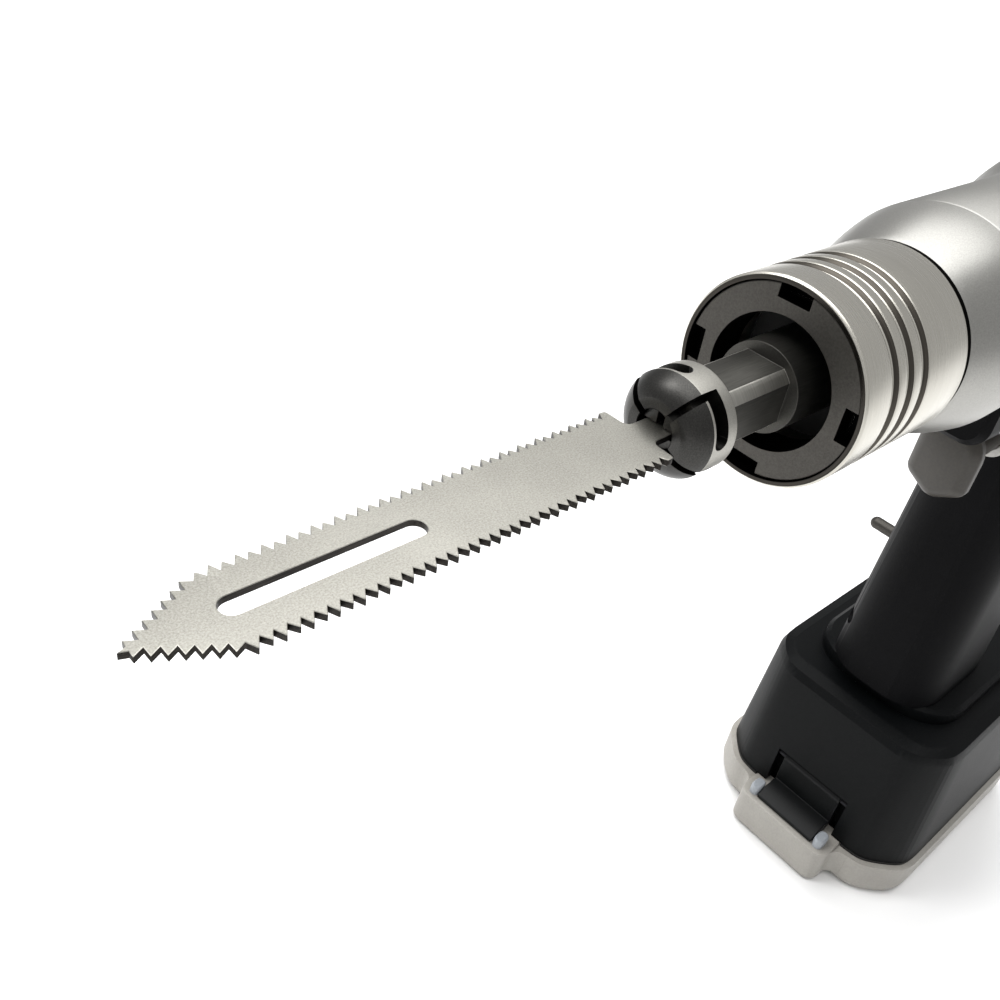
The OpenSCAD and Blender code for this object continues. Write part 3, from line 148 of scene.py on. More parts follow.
def ramp(tree: bpy.types.NodeTree, source: bpy.types.NodeSocket,
         stops: Sequence[tuple[float, tuple[float, float, float, float]]]) -> bpy.types.NodeSocket:
    """Adds a colour ramp over a factor.

    Args:
        tree: the node tree.
        source: the factor's socket.
        stops: position and colour of each stop, at least two.
    Returns:
        The ramp's colour socket.
    """
    node = add(tree, "ShaderNodeValToRGB", {"Fac": source})
    elements = node.color_ramp.elements
    elements[0].position, elements[0].color = stops[0]
    elements[1].position, elements[1].color = stops[-1]
    for position, colour in stops[1:-1]:
        elements.new(position).color = colour
    return node.outputs["Color"]


def spread(tree: bpy.types.NodeTree, source: bpy.types.NodeSocket, low: float, high: float
           ) -> bpy.types.NodeSocket:
    """Maps a factor from 0..1 to low..high."""
    return add(tree, "ShaderNodeMapRange", {"Value": source, "To Min": low, "To Max": high}).outputs[0]


def new_material(name: str) -> tuple[bpy.types.NodeTree, bpy.types.Node, bpy.types.Material]:
    """Makes a material with its Principled shader.

    Args:
        name: the material's name.
    Returns:
        The tree, the Principled node and the material.
    """
    material = bpy.data.materials.new(name)
    material.use_nodes = True
    tree = material.node_tree
    return tree, tree.nodes["Principled BSDF"], material


def noise(tree: bpy.types.NodeTree, vector: bpy.types.NodeSocket, size_mm: float, detail: float = 3.0,
          roughness: float = 0.55) -> bpy.types.NodeSocket:
    """Noise with spots of a real size.

    Args:
        tree: the node tree.
        vector: the coordinates, in metres.
        size_mm: size of one spot in millimetres.
        detail: octaves.
        roughness: how strong the finer octaves are.
    Returns:
        The noise factor's socket.
    """
    node = add(tree, "ShaderNodeTexNoise", {"Vector": vector, "Scale": 1 / (size_mm * MM),
                                            "Detail": detail, "Roughness": roughness})
    return node.outputs["Fac"]


def object_vector(tree: bpy.types.NodeTree, stretch: tuple[float, float, float] = (1, 1, 1)
                  ) -> bpy.types.NodeSocket:
    """Object coordinates, stretched along each axis by a factor."""
    source = add(tree, "ShaderNodeTexCoord").outputs["Object"]
    return add(tree, "ShaderNodeMapping", {"Vector": source, "Scale": stretch}).outputs["Vector"]


def lathe_vector(tree: bpy.types.NodeTree, around: float) -> bpy.types.NodeSocket:
    """Coordinates of a turned surface: station and radius stay, the angle is squeezed.

    Args:
        tree: the node tree.
        around: share of the sideways coordinates that is kept.
    Returns:
        The vector socket: station plus radius, then y and z scaled by around.
    """
    split = add(tree, "ShaderNodeSeparateXYZ", {"Vector": add(tree, "ShaderNodeTexCoord").outputs["Object"]})
    rise = add(tree, "ShaderNodeMath", {0: split.outputs["Z"], 1: AXIS_HEIGHT},
               operation="SUBTRACT").outputs[0]
    side = add(tree, "ShaderNodeCombineXYZ", {"Y": split.outputs["Y"], "Z": rise}).outputs[0]
    radius = add(tree, "ShaderNodeVectorMath", {0: side}, operation="LENGTH").outputs["Value"]
    along = add(tree, "ShaderNodeMath", {0: split.outputs["X"], 1: radius}, operation="ADD").outputs[0]
    squeezed = add(tree, "ShaderNodeVectorMath", {0: side, "Scale": around}, operation="SCALE").outputs[0]
    parts = add(tree, "ShaderNodeSeparateXYZ", {"Vector": squeezed})
    return add(tree, "ShaderNodeCombineXYZ", {"X": along, "Y": parts.outputs["Y"],
                                              "Z": parts.outputs["Z"]}).outputs[0]


@dataclass(frozen=True)
class MetalFinish:
    """A bare, blasted, turned or ground metal.

    The fine grain sets colour, roughness and bump together; a wide, faint cloud keeps a large
    face from looking even.
    """

    name: str
    dark: str
    light: str
    roughness: float
    grain: Grain = Grain.BLASTED
    grain_mm: float = 0.35
    depth_mm: float = 0.006
    rough_spread: float = 0.08
    cloud_mm: float = 14.0
    cloud_share: float = 0.25
    anisotropic: float = 0.0

    def build(self) -> bpy.types.Material:
        """Makes the material."""
        tree, shader, material = new_material(self.name)
        if self.grain is Grain.TURNED:
            vector = lathe_vector(tree, LATHE_SQUEEZE)
        elif self.grain is Grain.GROUND:
            vector = object_vector(tree, GROUND_STRETCH)
        else:
            vector = object_vector(tree)
        fine = noise(tree, vector, self.grain_mm, detail=4.0, roughness=0.65)
        cloud = noise(tree, object_vector(tree), self.cloud_mm, detail=2.0)
        mixed = add(tree, "ShaderNodeMix", {0: self.cloud_share, 2: fine, 3: cloud}).outputs[0]
        colour = ramp(tree, mixed, list(zip(METAL_STOPS, (linear(self.dark), linear(self.light)))))
        tree.links.new(colour, shader.inputs["Base Color"])
        low, high = self.roughness - self.rough_spread, self.roughness + self.rough_spread
        tree.links.new(spread(tree, mixed, low, high), shader.inputs["Roughness"])
        bump = add(tree, "ShaderNodeBump",
                   {"Height": fine, "Distance": self.depth_mm * MM, "Strength": 1.0})
        tree.links.new(bump.outputs[0], shader.inputs["Normal"])
        shader.inputs["Metallic"].default_value = 1.0
        if self.anisotropic:
            normal = add(tree, "ShaderNodeNewGeometry").outputs["Normal"]
            around = add(tree, "ShaderNodeVectorMath", {0: normal, 1: (1, 0, 0)}, operation="CROSS_PRODUCT")
            tree.links.new(around.outputs[0], shader.inputs["Tangent"])
            shader.inputs["Anisotropic"].default_value = self.anisotropic
        return material


@dataclass(frozen=True)
class MouldedFinish:
    """A moulded plastic or rubber: fine spark-eroded grain under a faint cloud."""

    name: str
    dark: str
    light: str
    roughness: float
    grain_mm: float = 0.45
    depth_mm: float = 0.02
    rough_spread: float = 0.06
    ior: float = 1.5
    specular: float = 0.5
    cloud_mm: float = 22.0

    def build(self) -> bpy.types.Material:
        """Makes the material."""
        tree, shader, material = new_material(self.name)
        vector = object_vector(tree)
        fine = noise(tree, vector, self.grain_mm, detail=2.0, roughness=0.5)
        cloud = noise(tree, vector, self.cloud_mm)
        mixed = add(tree, "ShaderNodeMix", {0: PLASTIC_CLOUD, 2: fine, 3: cloud}).outputs[0]
        colour = ramp(tree, mixed, list(zip(PLASTIC_STOPS, (linear(self.dark), linear(self.light)))))
        tree.links.new(colour, shader.inputs["Base Color"])
        low, high = self.roughness - self.rough_spread, self.roughness + self.rough_spread
        tree.links.new(spread(tree, mixed, low, high), shader.inputs["Roughness"])
        bump = add(tree, "ShaderNodeBump",
                   {"Height": fine, "Distance": self.depth_mm * MM, "Strength": 1.0})
        tree.links.new(bump.outputs[0], shader.inputs["Normal"])
        shader.inputs["Metallic"].default_value = 0.0
        shader.inputs["IOR"].default_value = self.ior
        shader.inputs["Specular IOR Level"].default_value = self.specular
        return material


# Fine-blasted stainless: an even grey with a speckle of small bright and dark pits
BLADE_FACE = MetalFinish("blasted_stainless_blade", "8f8d86", "bcbab2", roughness=0.4, grain_mm=0.22,
                         depth_mm=0.008, rough_spread=0.06)
# Sides of the blade, the teeth's sheared flanks and the slot's walls: painted shade, coloured near black all
# over
BLADE_FLANK = MetalFinish("sheared_flank_painted_shade", "161514", "3d3a37", roughness=0.42, grain=Grain.GROUND,
                          grain_mm=0.25, depth_mm=0.01)
# Nitrided steel, tumbled satin: dark grey with a soft wide highlight
CHUCK_STEEL = MetalFinish("nitrided_steel_satin", "333332", "494846", roughness=0.36, grain_mm=0.2,
                          depth_mm=0.004, rough_spread=0.04)
# Its band is glass-blasted: lighter and more matt than the dome
CHUCK_BAND = MetalFinish("blasted_steel_band", "9a9892", "b6b4ad", roughness=0.42, grain_mm=0.18,
                         rough_spread=0.04)
# The same steel, ground along the shaft's flats
SHAFT_STEEL = MetalFinish("nitrided_steel_ground", "454441", "565551", roughness=0.5, grain=Grain.GROUND,
                          grain_mm=0.25, depth_mm=0.002, rough_spread=0.03)
# Its corners are left as turned, and coloured much lighter than the flats as a painted reflection of bright
# light at the side, with a soft lengthwise shine
SHAFT_CORNER = MetalFinish("turned_corner_painted_reflection", "a3a19b", "bfbdb6", roughness=0.4, grain=Grain.TURNED,
                           grain_mm=0.25, depth_mm=0.002, rough_spread=0.03)
# Turned stainless: fine rings from the lathe that pull the highlight into a long streak
COLLAR_STEEL = MetalFinish("turned_stainless_collar", "c0bdb4", "d2cfc6", roughness=0.27,
                           grain=Grain.TURNED, grain_mm=0.12, depth_mm=0.0006, rough_spread=0.03,
                           cloud_mm=30.0, cloud_share=0.3, anisotropic=0.7)
# Front walls of the grooves: painted shade, coloured dark for the dark they would reflect
GROOVE_WALL_SHADE = MetalFinish("groove_wall_painted_shade", "3d3a36", "56524c", roughness=0.35, grain=Grain.TURNED,
                           grain_mm=0.4, depth_mm=0.001)
# The lapped front face of the collar: painted shade, coloured near black
COLLAR_FRONT_SHADE = MetalFinish("collar_front_painted_shade", "2e2c29", "413e3a", roughness=0.24, grain=Grain.TURNED,
                          grain_mm=0.4, depth_mm=0.001)
# Ring nut: lapped and blasted, a middle grey without shine
NUT_STEEL = MetalFinish("lapped_steel_nut", "454340", "575551", roughness=0.5, grain_mm=0.3, depth_mm=0.004,
                        rough_spread=0.04)
# Bores, pockets, notches and recesses: painted shade, nearly black so that recesses read as deep
PAINTED_SHADE = MetalFinish("painted_shade_bore", "070707", "121211", roughness=0.5, grain=Grain.TURNED,
                         grain_mm=0.4)
# Bead-blasted, clear anodised aluminium: bright, matt, with a soft silky sheen
HOUSING_ALUMINIUM = MetalFinish("blasted_anodised_aluminium", "94938f", "b1b0ac", roughness=0.37,
                                grain_mm=0.22, rough_spread=0.04, cloud_mm=30.0, cloud_share=0.3)
# Cast aluminium of the gear frame: matt, with a coarse skin
CAST_ALUMINIUM = MetalFinish("cast_aluminium", "8f9093", "b4b5b8", roughness=0.5, grain_mm=0.8,
                             depth_mm=0.03)
# Ground stainless of pins, springs and bearing
BRIGHT_STEEL = MetalFinish("ground_stainless_pin", "9a9a9a", "c9c9c9", roughness=0.25, grain=Grain.GROUND,
                           grain_mm=0.2, depth_mm=0.003)
# Black oxide on the latch's pin
BLACK_STEEL = MetalFinish("black_oxide_screw", "1d1d1f", "37373a", roughness=0.38, grain_mm=0.3,
                          depth_mm=0.004)
# Sintered bronze of the bushes: warm and porous
BRONZE = MetalFinish("sintered_bronze_bush", "7c5730", "b18550", roughness=0.48, grain_mm=0.5,
                     depth_mm=0.02)
# Gold plating on the contacts
BRASS = MetalFinish("gold_plated_contact", "b98f3c", "e2c06e", roughness=0.25, grain_mm=0.5, depth_mm=0.003)
# Fired ferrite of the magnets: dark grey, matt
FERRITE = MetalFinish("ferrite_magnet", "222224", "3b3b3e", roughness=0.5, grain_mm=0.6, depth_mm=0.02)
# Shrink sleeve of the cells: smooth and blue
CELL_SLEEVE = MouldedFinish("shrink_sleeve_cell", "2b4a78", "35588a", roughness=0.3, grain_mm=0.8,
                            depth_mm=0.004)
# Glass-filled nylon with a fine eroded grain: black satin, grey where light grazes it
GRIP_PLASTIC = MouldedFinish("eroded_nylon_grip", "040405", "09090b", roughness=0.5, grain_mm=0.5,
                             depth_mm=0.03, specular=0.06)
# The case is of the same nylon in a cooler black
CASE_PLASTIC = MouldedFinish("eroded_nylon_case", "050607", "0a0c0d", roughness=0.46, grain_mm=0.6,
                             depth_mm=0.03, rough_spread=0.05, specular=0.09)
# The latch too, with a finer grain
LATCH_PLASTIC = MouldedFinish("moulded_nylon_latch", "050606", "0c0e0f", roughness=0.42, grain_mm=0.5,
                              depth_mm=0.012, rough_spread=0.05, specular=0.2)
# Polyamide trigger: taupe grey, smooth
TRIGGER_PLASTIC = MouldedFinish("moulded_polyamide_trigger", "2b2722", "39352e", roughness=0.42,
                                grain_mm=0.6, depth_mm=0.01)
# Acetal bush: off-white, smooth
BUSH_PLASTIC = MouldedFinish("moulded_acetal_bush", "a9a7a2", "c2c0bb", roughness=0.35, grain_mm=0.6,
                             depth_mm=0.008)
# Lid: warm light grey, matt
LID_PLASTIC = MouldedFinish("moulded_polymer_lid", "938f89", "a7a49d", roughness=0.44, grain_mm=0.7)
# Its lugs: the same, rubbed by the latch to a cooler grey
LUG_PLASTIC = MouldedFinish("rubbed_polymer_lugs", "8b9096", "a2a7ac", roughness=0.38, grain_mm=0.5,
                            depth_mm=0.012)
# Inner mouldings: dark grey, never polished
INNER_PLASTIC = MouldedFinish("moulded_inner_plastic", "24272b", "32363b", roughness=0.5)
# Laminate under green solder mask
BOARD_LAMINATE = MouldedFinish("solder_mask_laminate", "0d3b22", "14532f", roughness=0.3, grain_mm=0.9,
                               depth_mm=0.01)
# Silicone seals: black and soft
SEAL_RUBBER = MouldedFinish("moulded_silicone_seal", "0b0b0b", "171717", roughness=0.6, grain_mm=0.5,
                            depth_mm=0.01)

SLOT_FINISH: dict[str, MetalFinish | MouldedFinish] = {
    "blade_steel": BLADE_FACE, "dark_steel": CHUCK_STEEL, "bright_steel": BRIGHT_STEEL,
    "collar_steel": COLLAR_STEEL, "nut_steel": NUT_STEEL, "blasted_aluminium": HOUSING_ALUMINIUM,
    "cast_aluminium": CAST_ALUMINIUM, "bronze": BRONZE, "brass": BRASS, "magnet": FERRITE,
    "seal_rubber": SEAL_RUBBER, "grip_plastic": GRIP_PLASTIC, "trigger_plastic": TRIGGER_PLASTIC,
    "bush_plastic": BUSH_PLASTIC, "lid_plastic": LID_PLASTIC, "inner_plastic": INNER_PLASTIC,
    "board": BOARD_LAMINATE, "cell_sleeve": CELL_SLEEVE,
}


@dataclass(frozen=True)
class Corner:
    """A corner of a turned profile: radius from the tool axis, station and fillet, in millimetres."""

    r: float
    s: float
    fillet: float = 0.0


def profile_points(corners: Sequence[Corner], steps: int = 4) -> list[Vector]:
    """Rounds the corners of a closed profile.

    Args:
        corners: the profile's corners in order.
        steps: segments of each fillet.
    Returns:
        Points in the plane through the tool axis.
    """
    points: list[Vector] = []
    count = len(corners)
    for index, corner in enumerate(corners):
        here = Vector((corner.s, corner.r))
        if corner.fillet <= 0:
            points.append(at(here.x, here.y))
            continue
        before, after = corners[index - 1], corners[(index + 1) % count]
        back = Vector((before.s, before.r)) - here
        ahead = Vector((after.s, after.r)) - here
        reach = min(corner.fillet, back.length * FILLET_REACH, ahead.length * FILLET_REACH)
        start, end = here + back.normalized() * reach, here + ahead.normalized() * reach
        for k in range(steps + 1):
            t = k / steps
            point = start * (1 - t) ** 2 + here * (2 * t * (1 - t)) + end * t ** 2
            points.append(at(point.x, point.y))
    return points


def spun(points: Sequence[Vector], steps: int = ROUND_STEPS) -> bmesh.types.BMesh:
    """Spins a closed profile round the tool axis.

    Args:
        points: the profile in order.
        steps: segments of the full turn.
    Returns:
        A closed bmesh with its normals outwards.
    """
    bm = bmesh.new()
    verts = [bm.verts.new(point) for point in points]
    edges = [bm.edges.new((a, b)) for a, b in zip(verts, verts[1:] + verts[:1])]
    bmesh.ops.spin(bm, geom=verts + edges, cent=at(0), axis=(1, 0, 0), angle=2 * math.pi, steps=steps,
                   use_merge=True)
    bmesh.ops.remove_doubles(bm, verts=bm.verts, dist=SPUN_MERGE)
    bmesh.ops.dissolve_degenerate(bm, edges=bm.edges, dist=SPUN_MERGE)
    bmesh.ops.recalc_face_normals(bm, faces=bm.faces)
    return bm


def rod(start: Vector, end: Vector, diameter: float, steps: int = 48) -> bmesh.types.BMesh:
    """A plain round rod between two points.

    Args:
        start: centre of one end.
        end: centre of the other end.
        diameter: its diameter in metres.
        steps: segments round it.
    Returns:
        The closed bmesh.
    """
    bm = bmesh.new()
    span = end - start
    turn = span.to_track_quat("Z", "Y").to_matrix().to_4x4()
    bmesh.ops.create_cone(bm, cap_ends=True, segments=steps, radius1=diameter / 2, radius2=diameter / 2,
                          depth=span.length, matrix=Matrix.Translation((start + end) / 2) @ turn)
    return bm


def block(low: Vector, high: Vector, turn: Matrix | None = None) -> bmesh.types.BMesh:
    """A block between two corners, turned if asked."""
    bm = bmesh.new()
    size = high - low
    place = Matrix.Translation((low + high) / 2) @ Matrix.Diagonal((size.x, size.y, size.z, 1.0))
    bmesh.ops.create_cube(bm, size=1.0, matrix=(turn or Matrix()) @ place)
    return bm


def joined(parts: Iterable[bmesh.types.BMesh]) -> bmesh.types.BMesh:
    """Puts several bmeshes into one and frees them."""
    whole = bmesh.new()
    for part in parts:
        mesh = bpy.data.meshes.new("part")
        part.to_mesh(mesh)
        part.free()
        whole.from_mesh(mesh)
        bpy.data.meshes.remove(mesh)
    return whole


def about_axis(degrees: float) -> Matrix:
    """A turn about the tool axis."""
    turn = Matrix.Rotation(math.radians(degrees), 4, "X")
    return Matrix.Translation(at(0)) @ turn @ Matrix.Translation(-at(0))


class Bench:
    """Holds the frame and its finishes, and sets new pieces on their bodies."""

    def __init__(self, frame: dict) -> None:
        """Reads which body carries each node.
        """
        self.frame = frame
        self.materials: dict[str, bpy.types.Material] = {}
        bodies = frame["record"]["behaviour"]["bodies"]
        self.body = {node: name for name, nodes in bodies.items() for node in nodes}
        self.slot = {row["node"]: row["material_slot"] for row in frame["record"]["subparts"]}

    def material(self, finish: MetalFinish | MouldedFinish) -> bpy.types.Material:
        """The material of a finish, built once."""
        if finish.name not in self.materials:
            self.materials[finish.name] = finish.build()
        return self.materials[finish.name]

    def paint(self, node: str, finish: MetalFinish | MouldedFinish | None = None) -> None:
        """Gives a carried-over node its finish.

        Args:
            node: the node's name.
            finish: the finish, or None for that of its record slot.
        """
        chosen = self.material(finish or SLOT_FINISH[self.slot[node]])
        piece = self.frame["nodes"][node]
        for slot in piece.material_slots:
            slot.material = chosen
        if not piece.material_slots:
            piece.data.materials.append(chosen)

    def copy(self, node: str, flat_degrees: float = 0.8) -> bmesh.types.BMesh:
        """A merged copy of a node's mesh with its flat faces joined.

        Args:
            node: the node's name.
            flat_degrees: faces that meet flatter than this are joined.
        Returns:
            The bmesh.
        """
        bm = bmesh.new()
        bm.from_mesh(self.frame["nodes"][node].data)
        bmesh.ops.remove_doubles(bm, verts=bm.verts, dist=COPY_MERGE)
        bmesh.ops.dissolve_limit(bm, angle_limit=math.radians(flat_degrees), verts=bm.verts, edges=bm.edges)
        return bm

    def place(self, bm: bmesh.types.BMesh, name: str, body: str, *finishes: MetalFinish | MouldedFinish,
              replaces: Sequence[str], bevel_mm: float = 0.0, bevel_degrees: float = 35.0,
              smooth_degrees: float = 38.0, weighted: bool = False) -> bpy.types.Object:
        """Makes an object of a bmesh and sets it on a body.

        Args:
            bm: the mesh, which is freed.
            name: the piece's name.
            body: the body it rides on.
            finishes: its finishes, in the order of the faces' material index.
            replaces: nodes that it stands for.
            bevel_mm: width of the bevel on its sharp edges, or 0.
            bevel_degrees: edges sharper than this are bevelled.
            smooth_degrees: edges flatter than this are shaded smooth.
            weighted: whether wide faces set the shading where narrow ones meet them.
        Returns:
            The new object.
        """
        mesh = bpy.data.meshes.new(name)
        bm.to_mesh(mesh)
        bm.free()
        for finish in finishes:
            mesh.materials.append(self.material(finish))
        mesh.polygons.foreach_set("use_smooth", [True] * len(mesh.polygons))
        mesh.set_sharp_from_angle(angle=math.radians(smooth_degrees))
        piece = bpy.data.objects.new(name, mesh)
        bpy.context.scene.collection.objects.link(piece)
        if bevel_mm:
            bevel = piece.modifiers.new("edge", "BEVEL")
            bevel.width = bevel_mm * MM
            bevel.segments = 2
            bevel.limit_method = "ANGLE"
            bevel.angle_limit = math.radians(bevel_degrees)
            bevel.harden_normals = not weighted
        if weighted:
            piece.modifiers.new("shading", "WEIGHTED_NORMAL").keep_sharp = True
        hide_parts(*replaces)
        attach(piece, body)
        log.info("%s on %s: %d faces", name, body, len(mesh.polygons))
        return piece

    def dress(self, node: str, bevel_mm: float = 0.2, finish: MetalFinish | MouldedFinish | None = None,
              **options: float) -> bpy.types.Object:
        """Stands a bevelled copy in for a node, on the same body.

        Args:
            node: the node's name.
            bevel_mm: width of the bevel on its sharp edges.
            finish: the finish, or None for that of its record slot.
            options: further arguments of place.
        Returns:
            The new object.
        """
        chosen = finish or SLOT_FINISH[self.slot[node]]
        return self.place(self.copy(node), node + "_dressed", self.body[node], chosen,
                          replaces=(node,), bevel_mm=bevel_mm, **options)


class Join(Enum):
    """What a second closed mesh does to the first."""

    CUT = "DIFFERENCE"
    ADD = "UNION"
    KEEP = "INTERSECT"


def combined(bm: bmesh.types.BMesh, other: bmesh.types.BMesh, how: Join) -> bmesh.types.BMesh:
    """Cuts one closed mesh out of another, adds it, or keeps what both share.

    Args:
        bm: the first mesh, which is freed.
        other: the second mesh, which is freed.
        how: what the second mesh does.
    Returns:
        The result as a new bmesh.
    """
    objects = []
    for name, source in (("work", bm), ("tool", other)):
        mesh = bpy.data.meshes.new(name)
        source.to_mesh(mesh)
        source.free()
        item = bpy.data.objects.new(name, mesh)
        bpy.context.scene.collection.objects.link(item)
        objects.append(item)
    work, tool = objects
    boolean = work.modifiers.new("join", "BOOLEAN")
    boolean.operation, boolean.solver, boolean.object = how.value, "EXACT", tool
    boolean.use_self = True
    depsgraph = bpy.context.evaluated_depsgraph_get()
    result = bmesh.new()
    result.from_mesh(bpy.data.meshes.new_from_object(work.evaluated_get(depsgraph)))
    for item in objects:
        bpy.data.objects.remove(item)
    return result


@dataclass
class SawBlade:
    """The double-edged blade. Lengths in millimetres."""

    bench: Bench
    pitch: float = 1.5
    first_gullet: float = -88.2
    gullet_half: float = 5.05
    root_margin: float = 0.35
    set_out: float = 0.16
    set_rate: float = 1.6
    edge_bevel: float = 0.07
    edge_degrees: float = 40.0
    face_tilt: float = 0.7
    flank_tilt: float = 0.5

    def build(self) -> None:
        """Copies the blade, sets its teeth to alternate sides and colours its side faces with painted shade.
        """
        bm = self.bench.copy("saw_blade")
        reach = (self.gullet_half + self.root_margin) * MM
        for vert in bm.verts:
            if abs(vert.co.y) > reach:
                station = (vert.co.x - COLLAR_FACE_X) / MM
                side = 1 if math.floor((station - self.first_gullet) / self.pitch) % 2 else -1
                share = (abs(vert.co.y) - reach) / (self.pitch * MM)
                vert.co.z += side * self.set_out * MM * min(1.0, self.set_rate * share)
        rims = [edge for edge in bm.edges if len(edge.link_faces) == 2
                and edge.calc_face_angle(0.0) > math.radians(self.edge_degrees)
                and any(abs(face.normal.z) > self.face_tilt for face in edge.link_faces)]
        bmesh.ops.bevel(bm, geom=rims, offset=self.edge_bevel * MM, affect="EDGES", segments=1,
                        profile=0.5, material=-1, clamp_overlap=True)
        # Side faces, flanks and slot walls alike, get the flank colour: painted shade
        for face in bm.faces:
            face.material_index = 1 if abs(face.normal.z) < self.flank_tilt else 0
        self.bench.place(bm, "toothed_blade", "shaft", BLADE_FACE, BLADE_FLANK, replaces=("saw_blade",),
                         smooth_degrees=15)


@dataclass
class Chuck:
    """Chuck sleeve, blade holder and drive shaft. Lengths in millimetres."""

    bench: Bench
    front: float = -25.0
    rear: float = -17.0
    radius: float = 7.7
    mouth_r: float = 3.0
    land_r: float = 4.6
    dome: float = 3.0
    dome_slopes: tuple[float, float] = (18.0, 66.0)
    dome_steps: int = 12
    crease: float = 0.1
    small_fillet: float = 0.15
    rear_fillet: float = 0.35
    bore_r: float = 5.25
    lip: float = 2.8
    slots: int = 4
    slot_w: float = 1.1
    slot_root: float = 1.6
    slot_turn: float = 213.0
    arc_front: float = -21.6
    arc_w: float = 2.55
    arc_angle: float = 58.5
    square_half: float = 4.8
    square_r: float = 5.78
    flats_start: float = -16.9
    flats_end: float = -2.3
    shaft_r: float = 7.0
    round_end: float = 10.0
    stub_end: float = -8.9
    stub_r: float = 3.0
    stub_cover: float = 3.6
    overrun: float = 1.0
    skin: float = 0.1
    band_skin: float = 0.08
    band_tilt: float = 0.97
    corner_tilt: float = 0.995
    end_tilt: float = 0.5
    shaft_steps: int = 128
    arc_steps: int = 24
    arc_end_steps: int = 32

    def sleeve_body(self) -> bmesh.types.BMesh:
        """The uncut sleeve: flat land, dome that meets the band at a crease, and bore."""
        low, high = (math.radians(a) for a in self.dome_slopes)
        dome = []
        for k in range(1, self.dome_steps + 1):
            slope = low + (high - low) * k / self.dome_steps
            out = (math.sin(slope) - math.sin(low)) / (math.sin(high) - math.sin(low))
            back = (math.cos(low) - math.cos(slope)) / (math.cos(low) - math.cos(high))
            dome.append(Corner(self.land_r + (self.radius - self.land_r) * out, self.front + self.dome * back,
                               self.crease if k == self.dome_steps else 0.0))
        corners = [Corner(self.mouth_r, self.front, self.small_fillet),
                   Corner(self.land_r, self.front, self.crease), *dome,
                   Corner(self.radius, self.rear, self.rear_fillet),
                   Corner(self.bore_r, self.rear, self.small_fillet),
                   Corner(self.bore_r, self.front + self.lip), Corner(self.mouth_r, self.front + self.lip)]
        return spun(profile_points(corners))

    def slot_cutters(self) -> bmesh.types.BMesh:
        """Radial slots, each turning into a curved slot with a round end."""
        cutters = []
        root, depth = self.bore_r - self.overrun, self.radius + 2 * self.overrun
        arc_rear, middle = self.arc_front + self.arc_w, self.arc_front + self.arc_w / 2
        end_angle = self.arc_angle - math.degrees(math.atan(self.arc_w / 2 / self.radius))
        for k in range(self.slots):
            turn = about_axis(self.slot_turn + 360 / self.slots * k)
            low = at(self.front - self.overrun, -self.slot_w / 2, self.slot_root)
            cutters.append(block(low, at(arc_rear, self.slot_w / 2, depth), turn))
            arc = bmesh.new()
            corners = [at(station, 0, radial) for station, radial in
                       ((self.arc_front, root), (arc_rear, root), (arc_rear, depth), (self.arc_front, depth))]
            face = arc.faces.new([arc.verts.new(turn @ corner) for corner in corners])
            bmesh.ops.spin(arc, geom=[face, *face.edges, *face.verts], cent=at(0), axis=(1, 0, 0),
                           angle=math.radians(end_angle), steps=self.arc_steps)
            bmesh.ops.contextual_create(arc, geom=[edge for edge in arc.edges if edge.is_boundary])
            bmesh.ops.recalc_face_normals(arc, faces=arc.faces)
            cutters.append(arc)
            spin = about_axis(end_angle) @ turn
            cutters.append(rod(spin @ at(middle, 0, root), spin @ at(middle, 0, depth), self.arc_w * MM,
                               self.arc_end_steps))
        return joined(cutters)

    def shaft_body(self) -> bmesh.types.BMesh:
        """The shaft: a square with round corners, the full round, and the carried-over rear."""
        low, half, past = self.flats_start, self.square_half, self.flats_end + self.overrun / 2
        square = block(at(low - self.overrun, -half, -half), at(past, half, half))
        core = rod(at(low), at(past + self.overrun), 2 * self.square_r * MM, self.shaft_steps)
        stub = rod(at(low - self.overrun), at(self.stub_end), 2 * self.stub_r * MM)
        full = rod(at(self.flats_end), at(self.round_end), 2 * self.shaft_r * MM, self.shaft_steps)
        front = combined(combined(combined(core, square, Join.KEEP), stub, Join.CUT), full, Join.ADD)
        rear = self.bench.copy("drive_shaft")
        bmesh.ops.bisect_plane(rear, geom=[*rear.verts, *rear.edges, *rear.faces],
                               plane_co=at(self.round_end), plane_no=(1, 0, 0), clear_inner=True)
        bmesh.ops.holes_fill(rear, edges=[edge for edge in rear.edges if edge.is_boundary])
        return joined([front, rear])

    def build(self) -> None:
        """Makes the sleeve and dresses the holder and the shaft."""
        sleeve = combined(self.sleeve_body(), self.slot_cutters(), Join.CUT)
        for face in sleeve.faces:
            centre = face.calc_center_median() - at(0)
            radial = math.hypot(centre.y, centre.z) / MM
            outward = (face.normal.y * centre.y + face.normal.z * centre.z) / (radial * MM)
            # Faces of the bore get painted shade; outward faces of the band get the band finish
            if outward < 0 and radial < self.bore_r + self.skin:
                face.material_index = 1
            elif outward > self.band_tilt and radial > self.radius - self.band_skin:
                face.material_index = 2
        self.bench.place(sleeve, "slotted_sleeve", "sleeve", CHUCK_STEEL, PAINTED_SHADE, CHUCK_BAND,
                         replaces=("chuck_sleeve",), bevel_mm=0.09, bevel_degrees=40, smooth_degrees=18)
        self.bench.dress("blade_holder", 0.08)
        shaft = self.shaft_body()
